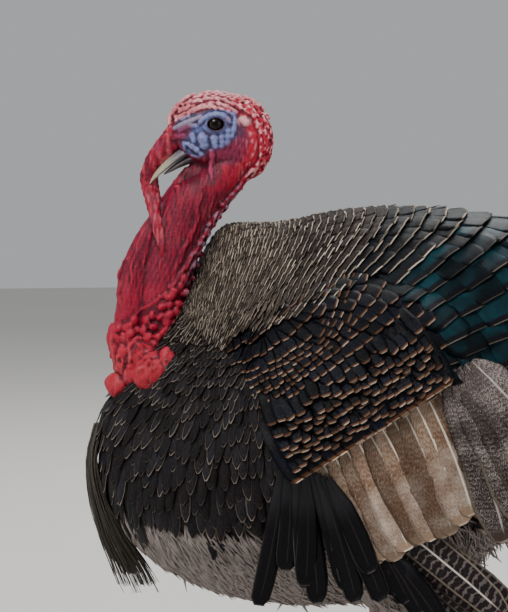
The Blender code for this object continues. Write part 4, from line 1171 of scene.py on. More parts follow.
class Coat:
    """The body's feathers, laid row by row and gathered by kind and side."""

    def __init__(self, sizes, ground):
        self.sizes = sizes
        self.ground = ground
        self.draw = random.Random(5)
        self.groups = {}

    def lay(self, kind, tip, heading, length, width, outline, camber=0.1, wobble=0.04, lift=0.0006):
        draw = self.draw
        side = "left" if tip.y < 0 else "right"
        plumage = self.groups.setdefault((kind, side), Plumage(outline, self.sizes.vane, camber))
        heading = heading + Vector([draw.gauss(0, wobble) for _ in range(3)])
        length *= draw.uniform(0.92, 1.08)
        tip = tip + heading * draw.gauss(0, 0.0006 + 0.015 * width)
        plumage.lay(self.ground.track(tip, heading, length, outline), length, width, (-self.sizes.depth,
            draw.uniform(-lift, lift)), (draw.random(), draw.random()), draw.uniform(-0.06, 0.06))

    def rows(self, values, levels, spacing_of, keep):
        """Tips on the contours at the given levels that pass the test."""
        for index, level in enumerate(levels):
            for chain in self.ground.contours(values, level):
                places = spaced(chain, lambda place: spacing_of(level, place), 0.25 + 0.5 * (index % 2))
                for place, _ in places:
                    spread = spacing_of(level, place) * 0.04
                    if keep(place):
                        yield level, place + Vector([self.draw.gauss(0, spread) for _ in range(3)])

    def back(self):
        turn, levels = 84.0, []
        places, gaps = zip(*BACK_GAPS)

        def gap_of(level):
            return float(np.interp(level, places, gaps)) * self.sizes.rows

        while turn > -42.0:
            levels.append(turn)
            turn -= degrees(gap_of(turn) / 0.26)

        def spacing_of(level, place):
            away = hypot(place.x - BACK_FOCUS[0], place.z - BACK_FOCUS[1])
            return (gap_of(level) * 1.3 + 0.0022) * min(1.25, 0.35 + away / 0.3)

        for level, place in self.rows(back_turn(self.ground.points), levels, spacing_of, upper_place):
            gap = gap_of(level)
            kind = coat_kind(level, place)
            self.lay(kind, place, back_heading(place), max(gap * 3.4, 0.026), spacing_of(level, place) *
                1.75, MANTLE_VANE if kind == "mantle" else BODY_VANE, wobble=0.03)

    def collar(self):
        """Short feathers round the neck, in rows that run down along it."""
        low_x, low_z, high_x, high_z = COLLAR
        points = self.ground.points
        middle = low_x + (points[:, 2] - low_z) * (high_x - low_x) / (high_z - low_z)
        reach = np.hypot(points[:, 0] - middle, points[:, 1])
        levels = np.arange(0.024, 0.085, 0.0034)
        for _, place in self.rows(reach, levels, lambda *_: 0.0058, lambda place: (place.z > 0.447 and
                float(back_turn(np.array(place))) > 71.5)):
            centre = low_x + (place.z - low_z) * (high_x - low_x) / (high_z - low_z)
            heading = Vector((place.x - centre, place.y, 0.004)).normalized()
            self.lay("mantle", place, heading, 0.022, 0.0085, MANTLE_VANE, wobble=0.05)

    def wing(self):
        lines = between(WING_ROWS, round(17 / self.sizes.rows))
        for sign in (-1, 1):
            for index, line in enumerate(lines):
                chain = []
                for x, z in between(line.reshape(3, 2), 60):
                    hit = self.ground.beside(x, z, sign)
                    if hit is not None and abs(hit.y) > 0.05:
                        chain.append(hit)

                def spacing_of(place):
                    away = hypot(place.x + 0.06, place.z - 0.4)
                    return 0.0042 + 0.0105 * min(away / 0.14, 1.1)

                for place, along in spaced(chain, spacing_of, 0.2 + 0.5 * (index % 2)):
                    spacing = spacing_of(place)
                    if not (inside(WING_AREA, place.x, place.z - 0.012) or
                            inside(WING_AREA, place.x, place.z) or
                            inside(WING_AREA, place.x, place.z + 0.01)):
                        continue
                    heading = Vector((along.z, 0, -along.x)).normalized()
                    self.lay("scapular", place, heading, 0.018 + spacing * 2.8, spacing *
                        self.draw.uniform(1.3, 1.75), SHOULDER_VANE, wobble=0.07, lift=0.0012)

    def breast(self):
        def spacing_of(level, _):
            return (0.005 + 0.004 * float(smooth(0.0, 0.15, level))) * self.sizes.rows

        level, levels = 0.01, []
        while level < 0.3:
            levels.append(level)
            level += (0.0062 + 0.012 * float(smooth(0.01, 0.13, level))) * self.sizes.rows
        for level, place in self.rows(breast_reach(self.ground.points), levels, spacing_of, lambda spot:
                in_breast(spot) and spot.z > BREAST_HEM + 0.012 * sin(spot.x * 90)):
            grow = float(smooth(0.0, 0.15, level))
            shift = breast_heading(place) * self.draw.gauss(0, 0.005 * grow)
            self.lay("breast", place + shift, breast_heading(place), 0.026 + 0.03 * grow,
                spacing_of(level, place) * self.draw.uniform(1.1, 1.5), DROP_VANE, camber=0.26,
                wobble=0.06, lift=0.0018)


def build_coat(context):
    sizes = context.scene.turkey_coat
    ground, drape = coat_ground(sizes)
    coat = Coat(sizes, ground)
    coat.back()
    coat.collar()
    coat.wing()
    coat.breast()
    finishes = coat_finishes(context.scene.turkey_colours)
    for (kind, side), plumage in sorted(coat.groups.items()):
        plumage.build(f"coat_{kind}_{side}", finishes[kind], "feather_dark")
    build_down(context, ground)
    return drape


def build_down(context, ground):
    """Soft tufts over belly, vent and thighs, set by Geometry Nodes."""
    draw = random.Random(11)
    tints = context.scene.turkey_colours
    tuft = Shape()
    tuft.add_tube([(0, 0, 0), (0.45, 0, 0.12), (1.0, 0, 0.1)], [0.07, 0.1, 0.015], 3)
    model = model_of("tuft", tuft)
    finish = plain_finish("belly down", dim(tints.down, 0.62), dim(tints.down, 1.25), 90.0, 0.75)
    centres = ground.points[ground.faces].mean(axis=1)
    for side, sign in SIDES:
        points, turns, sizes = [], [], []
        for centre in centres:
            low = centre[2] < BREAST_HEM + 0.02 and centre[0] < 0.3
            vent = centre[0] > 0.24 and centre[2] < 0.4
            wing = abs(centre[1]) > 0.135 and centre[2] > 0.262
            if centre[1] * sign < 0 or wing or not (low or vent):
                continue
            spot, normal = ground.near(Vector(centre) + Vector([draw.gauss(0, 0.0022) for _ in range(3)]))
            heading = Vector((0.55 if spot.z > 0.2 else 0.9, 0, -0.8))
            heading = heading + Vector([draw.gauss(0, 0.22) for _ in range(3)])
            heading = (heading - normal * (heading.dot(normal) - 0.1)).normalized()
            frame_of = Matrix((heading, normal.cross(heading).normalized(),
                heading.cross(normal.cross(heading)).normalized())).transposed()
            points.append(bird(spot - normal * 0.007))
            turns.append(frame_of.to_euler())
            long = draw.uniform(0.015, 0.027)
            sizes.append((long, long * 0.62, long * 0.62))
        obj = cloud_object(f"coat_down_{side}", points, turns, sizes)
        grown(obj, bpy.data.node_groups["Turkey scatter"], Shape=model, Growth=1.0, Finish=finish)
        spots = coordinates(obj.data)[::len(tuft.points)] + np.array((MIDDLE_X, 0, 0))
        patches = np.array([around_body(spot) for spot in spots])
        local = np.array([(point[0] - 0.5, point[1]) for point in tuft.points]) * BAKE_PATCH
        values = (patches[:, None] + local[None]).reshape(-1, 2)
        corners = np.empty(len(obj.data.loops), dtype=int)
        obj.data.loops.foreach_get("vertex_index", corners)
        layer = obj.data.uv_layers.new(name="OFBake")
        layer.uv.foreach_set("vector", values[corners].astype(np.float32).ravel())
        dressed(obj, None, "feather_dark")
    bpy.data.objects.remove(model, do_unlink=True)


def coat_finishes(tints):
    soot, buff, rust, teal = (list(shade) for shade in (tints.soot, tints.buff, tints.rust, tints.teal))
    return {
        # The mantle's top near the neck gets painted light through paler.
        "mantle": feather_finish("mantle feathers", [0.024, 0.018, 0.016], [0.013, 0.01, 0.01],
          dim(buff, 1.1), band_deep=0.003, rim_deep=0.001, spread=0.6, streaks=0.35,
          paler=(-0.1, 0.012, [0.15, 0.113, 0.094])),
        "back": feather_finish("back feathers", soot, [0.006, 0.005, 0.006], dim(buff, 0.9),
          band_deep=0.006, rim_deep=0.0014, sheen=teal, sheen_share=0.2, roughness=0.52, streaks=0.2,
          spread=0.6),
        "rump": feather_finish("rump feathers", dim(soot, 0.5), [0.004, 0.004, 0.006], dim(buff, 0.22),
          band_deep=0.006, rim_deep=0.001, sheen=teal, sheen_share=1.0, roughness=0.45, spread=0.8),
        "hem": feather_finish("rump hem feathers", dim(soot, 0.6), [0.004, 0.004, 0.006],
          [0.36, 0.29, 0.225], band_deep=0.009, rim_deep=0.0034, sheen=teal, sheen_share=1.0,
          roughness=0.5, spread=0.5, streaks=0.15),
        "scapular": feather_finish("shoulder feathers", dim(soot, 0.5), dim(rust, 0.9), dim(buff, 0.66),
          band_deep=0.0022, rim_deep=0.0009, sheen=[0.003, 0.005, 0.012], sheen_share=0.6, roughness=0.5,
          spread=0.8, streaks=0.22),
        "breast": feather_finish("breast feathers", [0.011, 0.009, 0.0095], [0.0075, 0.006, 0.0065],
          [0.21, 0.17, 0.14], band_deep=0.004, rim_deep=0.0005, side_deep=0.001,
          sheen=[0.005, 0.007, 0.012], sheen_share=0.5, roughness=0.46, spread=0.7, streaks=0.4),
        "flank": feather_finish("flank feathers", [0.075, 0.055, 0.042], [0.012, 0.01, 0.01], buff,
          band_deep=0.007, rim_deep=0.004, roughness=0.55, streaks=0.3),
    }


def wing_lines():
    """Start and end of the lines that the wing's feather rows grow along."""
    wrist, elbow, hand = WING_WRIST, WING_ELBOW, WING_HAND
    return {
        "arm": (wrist + (elbow - wrist) * 0.04, elbow),
        "hand": (wrist + (hand - wrist) * 0.08, hand),
        "knuckles": (wrist + (hand - wrist) * 0.1, hand),
        "elbow": (elbow + Vector((-0.01, -0.006)), elbow + Vector((0.012, 0.004))),
        "front": (Vector((-0.04, 0.352)), Vector((-0.002, 0.336))),
        "hem": (Vector((-0.022, 0.339)), Vector((0.108, 0.416))),
    }


def drape_track(drape, sign, root, heading, length, outline, bend):
    """Centres, normals and sides of a feather laid over the drape in side view."""
    found = []
    for share, _ in outline:
        angle = heading + bend * share
        along = Vector((cos(angle), -sin(angle)))
        spot = root + along * length * share
        small = 0.004
        here = drape.half_width(spot.x, spot.y)
        slope_x = (drape.half_width(spot.x + small, spot.y) - here) / small
        slope_z = (drape.half_width(spot.x, spot.y + small) - here) / small
        normal = Vector((-slope_x * 0.6, sign, -slope_z * 0.6)).normalized()
        forward = Vector((along.x, 0, along.y))
        forward = along_surface(forward, normal)
        found.append((Vector((spot.x, sign * here, spot.y)), normal, normal.cross(forward)))
    return found


def wing_finishes(tints):
    soot, buff, rust = (list(shade) for shade in (tints.soot, tints.buff, tints.rust))
    cream = [0.4, 0.32, 0.25]
    return {
        "primary": feather_finish("barred flight feathers", [0.01, 0.0075, 0.0085], soot, dim(cream, 0.6),
          band_deep=0.002, bars=(0.008, [0.085, 0.07, 0.064], 0.62), root=soot, shaft=[0.42, 0.37, 0.33],
          streaks=0.35, side_deep=0.0018, spread=0.6),
        "secondary": feather_finish("panel feathers", [0.105, 0.048, 0.024], [0.2, 0.135, 0.092], cream,
          band_deep=0.01, rim_deep=0.0014, mottle=[0.31, 0.235, 0.175], shaft=[0.5, 0.45, 0.38],
          spread=1.0, streaks=1.0, root=[0.13, 0.075, 0.048], side_deep=0.0013, sheen=[0.44, 0.37, 0.32],
          sheen_share=0.5, grain_along=(1500.0, 260.0, 1.0), marks_from=0.72),
        "tertial": feather_finish("inner panel feathers", [0.026, 0.018, 0.017], [0.05, 0.034, 0.028],
          cream, band_deep=0.012, rim_deep=0.002, mottle=[0.36, 0.31, 0.285], shaft=[0.36, 0.32, 0.29],
          streaks=0.9, side_deep=0.0026, spread=0.8, grain_along=(900.0, 520.0, 1.0), marks_from=0.8),
        "lesser_covert": feather_finish("small wing coverts", dim(soot, 0.5), dim(rust, 0.9),
          dim(buff, 0.6), band_deep=0.0022, rim_deep=0.0009, sheen=[0.003, 0.005, 0.012], sheen_share=0.6,
          roughness=0.5, spread=0.8, streaks=0.25),
        "greater_covert": feather_finish("wing coverts", soot, rust, cream, band_deep=0.0034,
          rim_deep=0.001, sheen=[0.003, 0.005, 0.012], sheen_share=0.5, roughness=0.5, streaks=0.2,
          spread=0.8),
        "primary_covert": feather_finish("carpal feathers", [0.0042, 0.0038, 0.0048],
          [0.004, 0.0035, 0.0045], [0.075, 0.065, 0.06], band_deep=0.004, side_deep=0.001, streaks=0.25,
          shaft=[0.016, 0.013, 0.012], roughness=0.4),
    }


def build_wings(context, drape):
    tints = context.scene.turkey_colours
    finishes = wing_finishes(tints)
    lines = wing_lines()
    draw = random.Random(23)
    for side, sign in SIDES:
        groups = {}
        for (kind, line, inset, count, first, last, width, turn, end_turn, lift, step) in WING_TIERS:
            start, end = lines[line]
            rise = Vector((-(end - start).y, (end - start).x)).normalized()
            rise = rise if rise.y > 0 else -rise
            long = "covert" not in kind
            outline = FLIGHT_VANE if long else SHOULDER_VANE
            plumage = groups.setdefault(kind, Plumage(outline, 0.0008 if long else 0.0006, camber=0.07,
                ribs=3 if long else 2))
            for index in range(count):
                share = index / max(count - 1, 1)
                root = start.lerp(end, share) + rise * inset
                small = kind == "lesser_covert"
                loose = 5.0 if line == "front" or small else 1.2
                heading = radians(turn + (end_turn - turn) * share + draw.gauss(0, loose))
                length = (first + (last - first) * share) * (1 + draw.gauss(0, 0.02 * loose))
                if small:
                    root = root + rise * draw.gauss(0, 0.0026)
                if line == "hem":
                    root = root - Vector((cos(heading), -sin(heading))) * length
                track = drape_track(drape, sign, root, heading, length, outline, radians(5))
                height = lift + step * index
                plumage.lay(track, length, width, (height - (0.019 if small else 0.004), height),
                    (draw.random(), draw.random()), 0.055 * sign, bake=(0.05 + 0.9 * share, 0.1 + 0.12 *
                    len(groups) + (0.4 if sign > 0 else 0.0)))
        pieces = [plumage.build(f"wing_{kind}_{side}", finishes[kind], "feather_barred") for kind, plumage
            in sorted(groups.items())]
        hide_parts(f"wing_{side}")


def tail_place(x, y, rise):
    fall = sin(TAIL_DROOP) * (x - TAIL_ROOT[0]) + TAIL_ARCH * y * y
    return Vector((x, y, TAIL_ROOT[1] - fall + rise))


def tail_track(reach, share, rises, outline):
    turn = TAIL_SPREAD * share
    found = []
    for along, _ in outline:
        gone = reach * (1 - 0.07 * share * share) * along
        x = TAIL_ROOT[0] + gone * cos(turn)
        y = 0.024 * share + gone * sin(turn)
        rise = rises[0] + (rises[1] - rises[0]) * along
        normal = Vector((sin(TAIL_DROOP), 2 * TAIL_ARCH * y, 1.0)).normalized()
        forward = Vector((cos(turn), sin(turn), 0))
        forward = along_surface(forward, normal)
        found.append((tail_place(x, y, rise), normal, normal.cross(forward)))
    return found


def sleeve_track(turn, outline):
    """A short feather that lies round the tail's root, from the body's end on."""
    found = []
    for along, _ in outline:
        x = TAIL_ROOT[0] + SLEEVE_START + SLEEVE_LENGTH * along
        radius = SLEEVE_RADIUS * (1 - 0.35 * along)
        normal = Vector((0.12, sin(turn), cos(turn))).normalized()
        place = Vector((x, radius * 1.35 * sin(turn), TAIL_ROOT[1] + radius * cos(turn) - sin(TAIL_DROOP)
            * (x - TAIL_ROOT[0])))
        forward = Vector((cos(TAIL_DROOP), 0, -sin(TAIL_DROOP)))
        forward = along_surface(forward, normal)
        found.append((place, normal, normal.cross(forward)))
    return found


def tail_finishes(tints):
    soot, buff, teal = (list(shade) for shade in (tints.soot, tints.buff, tints.teal))
    return {
        "tail": feather_finish("tail feathers", [0.02, 0.012, 0.009], soot, buff, band_deep=0.045,
          rim_deep=0.012, mottle=[0.08, 0.042, 0.024], shaft=[0.06, 0.04, 0.03]),
        "tail_covert": feather_finish("tail coverts", soot, [0.03, 0.018, 0.011], buff, band_deep=0.02,
          rim_deep=0.006, sheen=teal, sheen_share=0.8, roughness=0.4),
        "under_tail": feather_finish("under tail feathers", [0.03, 0.02, 0.015], soot, buff,
          band_deep=0.016, rim_deep=0.006),
    }


def build_tail(context):
    """The fan with its coverts above and below, and the fleshy root that carries them."""
    finishes = tail_finishes(context.scene.turkey_colours)
    draw = random.Random(31)
    groups = {}
    for tier, (kind, count, length, width, root_rise, tip_rise, drop) in enumerate(TAIL_TIERS):
        long = length > 0.3
        outline = FLIGHT_VANE if long else BODY_VANE
        plumage = groups.setdefault(kind, Plumage(outline, 0.0008, camber=0.06, ribs=3 if long else 2))
        for index in range(count):
            share = index / (count - 1) * 2 - 1
            under = drop * (abs(share) + (1 / count if share < 0 else 0))
            reach = length * draw.uniform(0.985, 1.01)
            track = tail_track(reach, share, (root_rise - under, tip_rise - under), outline)
            plumage.lay(track, reach, width, (-0.001, 0.0), (draw.random(), draw.random()),
                copysign(0.05, share), bake=(0.05 + 0.9 * index / (count - 1), 0.1 + 0.14 * tier))
    for ring, (grow, wide) in enumerate(((1.0, 0.034), (0.86, 0.032))):
        for index in range(SLEEVE_COUNT):
            share = (index + 0.5 * ring) / SLEEVE_COUNT
            turn = tau * share
            kind = "under_tail" if 0.28 < share < 0.72 else "tail_covert"
            groups[kind].lay(sleeve_track(turn, BODY_VANE), SLEEVE_LENGTH * grow, wide,
                (-0.006, 0.002 * ring), (draw.random(), draw.random()), 0.04,
                bake=(0.05 + 0.9 * share, 0.93))
    for kind, plumage in sorted(groups.items()):
        plumage.build(f"{kind}_feathers", finishes[kind], "feather_barred")
    core = Shape()
    along = Vector((cos(TAIL_DROOP), 0, -sin(TAIL_DROOP)))
    root = Vector((TAIL_ROOT[0], 0, TAIL_ROOT[1]))
    core.add_tube([root + along * reach for reach in (-0.06, -0.02, 0.01, 0.03, 0.046)],
        [0.03, 0.028, 0.022, 0.014, 0.006], 20, flat=1.3)
    finish = plain_finish("tail root", (0.02, 0.018, 0.016), (0.05, 0.042, 0.036), 120.0, 0.7)
    dressed(core.object("tail_root"), finish, "feather_barred", "tail")


def side_spot(tree, x, z, sign, rise=0.0):
    """A place on the near or far side of a shape, by its place in side view."""
    hit = tree.ray_cast(Vector((x, sign * 0.3, z)), Vector((0, -sign, 0)))[0]
    return Vector((x, sign * rise if hit is None else hit.y + sign * rise, z))


def skin_folds(shape, tree):
    """Lids, brow, cheek pads, crown folds, neck folds and lobes on both sides."""
    draw = random.Random(3)
    for _, sign in SIDES:
        for name, points, radii in HEAD_FOLDS:
            shift = 0.0 if sign < 0 else draw.uniform(-0.0012, 0.0012)
            rows = between([(EYE.x + FOLD_SHIFT + x + shift, EYE.z + z, radius) for (x, z), radius in
                zip(points, radii)], len(points) * 5)
            sink = -0.62 if "cheek" in name else -0.45 if "pad" in name else -0.05
            centres = [side_spot(tree, x, z, sign, radius * sink + draw.gauss(0, 0.0001)) for x, z, radius
                in rows]
            uneven = 0.05 if "pad" in name or "brow" in name else 0.14
            sizes = [radius * (1 + uneven * sin(step * 1.3 + len(points))) for step, (_, _, radius) in
                enumerate(rows)]
            shape.add_tube(centres, sizes, 10)
            shape.add_ball(centres[0], [sizes[0]] * 3, sides=8, rings=6)
            shape.add_ball(centres[-1], [sizes[-1]] * 3, sides=8, rings=6)
        for lid, scale, radius, rise in ((1, 1.1, 0.0016, 0.0008), (-1, 1.1, 0.0013, 0.0002),
                (-1, 1.42, 0.001, 0.0)):
            rows = []
            for step in range(17):
                turn = pi * step / 16
                x = EYE.x - EYE_OPENING[0] * scale * cos(turn)
                z = EYE.z + lid * EYE_OPENING[1] * scale * sin(turn)
                rows.append(side_spot(tree, x, z, sign, rise))
            shape.add_tube(rows, [radius] * 17, 8)
    for fold, (points, radius) in enumerate(zip(NECK_FOLDS, NECK_FOLD_RADII)):
        for _, sign in SIDES:
            rows = between(points, len(points) * 6)
            sink = 0.05 if fold == 0 else -0.35
            centres = [side_spot(tree, x + 0.0008 * sin(step * 0.9 + fold), z, sign, radius * sink) for
                step, (x, z) in enumerate(rows)]
            last = len(rows) - 1
            sizes = [radius * (0.45 + 0.55 * sin(pi * (0.12 + 0.8 * step / last))) for step in
                range(len(rows))]
            shape.add_tube(centres, sizes, 10)
    for x, out, z, long, deep, tall, tilt in LOBES:
        for _, sign in SIDES:
            shape.add_ball((x, sign * out, z), (long, deep, tall), tilt)
    x, y, z, long, deep, tall, tilt = LOBE_CORE
    shape.add_ball((x, y, z), (long, deep, tall), tilt)
    x, y, z, long, deep, tall, tilt = CHIN
    shape.add_ball((x, y, z), (long, deep, tall), tilt)


def scattered(draw, outline, apart, count):
    """Places inside a closed outline in side view, none closer than apart."""
    xs, zs = zip(*outline)
    found = []
    for _ in range(count * 30):
        x, z = draw.uniform(min(xs), max(xs)), draw.uniform(min(zs), max(zs))
        if inside(outline, x, z) and all(hypot(x - a, z - b) > apart for a, b in found):
            found.append((x, z))
            if len(found) == count:
                break
    return found


def bead_cloud(sizes, tree, lobe_tree):
    """Points of the small caruncles: crown's back, nape and the cluster under the dewlap."""
    draw = random.Random(17)
    found = []
    for _, sign in SIDES:
        for x, z in scattered(draw, BACK_BEADS, 0.0023, sizes.bead_count):
            spot = side_spot(tree, EYE.x + x, EYE.z + z, sign, 0.0003)
            if abs(spot.y) > 0.001:
                turn = atan2(z + 0.01, x - 0.006) - pi / 2
                size = sizes.bead * draw.uniform(0.75, 1.25)
                found.append((spot, (0, -turn + draw.gauss(0, 0.3), 0),
                    (size * 1.35, size * 0.9, size * 0.75)))
        for x, z in scattered(draw, CLUSTER_BEADS, 0.0062, 80):
            size = draw.uniform(0.0038, 0.0052)
            found.append((side_spot(tree, x, z, sign, 0.0006), (0, draw.uniform(0, 3), 0),
                (size * 1.25, size * 1.05, size * 0.95)))
        for x, z in scattered(draw, SMALL_BEADS, 0.0042, 80):
            size = draw.uniform(0.0024, 0.0036)
            found.append((side_spot(tree, x, z, sign, 0.001), (0, draw.uniform(0.2, 1.2), 0),
                (size * 1.7, size, size * 0.8)))
        for x, z in scattered(draw, LOBE_BEADS, 0.006, 60):
            size = draw.uniform(0.0026, 0.0044)
            found.append((side_spot(lobe_tree, x, z, sign, -0.0012), (0, draw.uniform(0, 3), 0),
                (size * 1.5, size, size)))
    for index, row in enumerate(between(NECK_STATIONS, 19)[1:]):
        for step in range(5):
            across = (step - 2 + 0.5 * (index % 2)) * 0.36 + draw.gauss(0, 0.05)
            back, front = Vector((row[0], 0, row[1])), Vector((row[2], 0, row[3]))
            middle, up = (back + front) / 2, (back - front) / 2
            spot = middle + up * cos(across) + Vector((0, row[4] * sin(across), 0))
            size = draw.uniform(0.0026, 0.004) * (0.6 + 0.4 * float(smooth(0.6, 0.55, spot.z)))
            found.append((spot, (draw.gauss(0, 0.5), draw.gauss(0, 0.5), 0),
                (size * 1.15, size, size * 0.9)))
    return found


def crown_cloud(tree):
    """Points over the ridge of the head, where both sides meet."""
    draw = random.Random(29)
    found = []
    for row in range(24):
        x = EYE.x - 0.034 + row * 0.0036
        for step in range(-3, 4):
            y = step * 0.004 + draw.gauss(0, 0.0005) + (row % 2) * 0.002
            hit = tree.ray_cast(Vector((x, y, 0.8)), Vector((0, 0, -1)))[0]
            if hit is not None:
                size = draw.uniform(0.0018, 0.0026)
                found.append((hit, (0, draw.gauss(0, 0.2), draw.gauss(0, 0.5)),
                    (size * 1.6, size, size * 0.8)))
    return found


def scatter(name, cloud):
    """Balls on the points of a cloud, set by Geometry Nodes."""
    ball = Shape()
    ball.add_ball((0, 0, 0), (1, 1, 1), sides=10, rings=7)
    model = model_of("ball", ball)
    spots, turns, sizes = zip(*cloud)
    obj = cloud_object(name, [bird(spot) for spot in spots], turns, sizes)
    grown(obj, bpy.data.node_groups["Turkey scatter"], Shape=model, Growth=1.0)
    bpy.data.objects.remove(model, do_unlink=True)
    return obj


def joined(target, other):
    """The other's mesh put into the target's, as a loose body of it."""
    work = bmesh.new()
    work.from_mesh(target.data)
    work.from_mesh(other.data)
    bpy.data.objects.remove(other, do_unlink=True)
    work.to_mesh(target.data)
    work.free()


def snood_shape(shape):
    rows = between(SNOOD_STATIONS, 90)
    sides = 22
    rings = []
    for index, (x, y, z, radius) in enumerate(rows):
        before, after = rows[max(index - 1, 0)], rows[min(index + 1, len(rows) - 1)]
        along = Vector(after[:3] - before[:3]).normalized()
        side = (Vector((0, 1, 0)) - along * along.y).normalized()
        up = along.cross(side)
        ring = []
        for step in range(sides):
            turn = tau * step / sides
            wrinkle = 0.04 * sin(index * 1.5 + 2.1 * sin(turn * 2 + index * 0.13))
            furrow = 0.055 * sin(turn * 5 + index * 0.09 + sin(index * 0.5))
            size = radius * (1 + wrinkle + furrow)
            ring.append(Vector((x, y, z)) + side * cos(turn) * size * 0.82 + up * sin(turn) * size)
        rings.append(ring)
    shape.add_rings(rings)


def lumps(points, x, y=None, z=None):
    """Noise at the points, with its own grain along each axis."""
    y, z = x if y is None else y, x if z is None else z
    return np.array([noise.noise(Vector((point[0] * x, point[1] * y, point[2] * z))) for point in
        points.tolist()])


def blob(x, z, centre, half_x, half_z, tilt=0.0):
    """Soft mask round a place in side view, one in its middle."""
    turn = radians(tilt)
    dx, dz = x - centre[0], z - centre[1]
    one = (dx * cos(turn) + dz * sin(turn)) / half_x
    two = (dz * cos(turn) - dx * sin(turn)) / half_z
    return 1 - smooth(0.74, 1.12, np.sqrt(one * one + two * two))


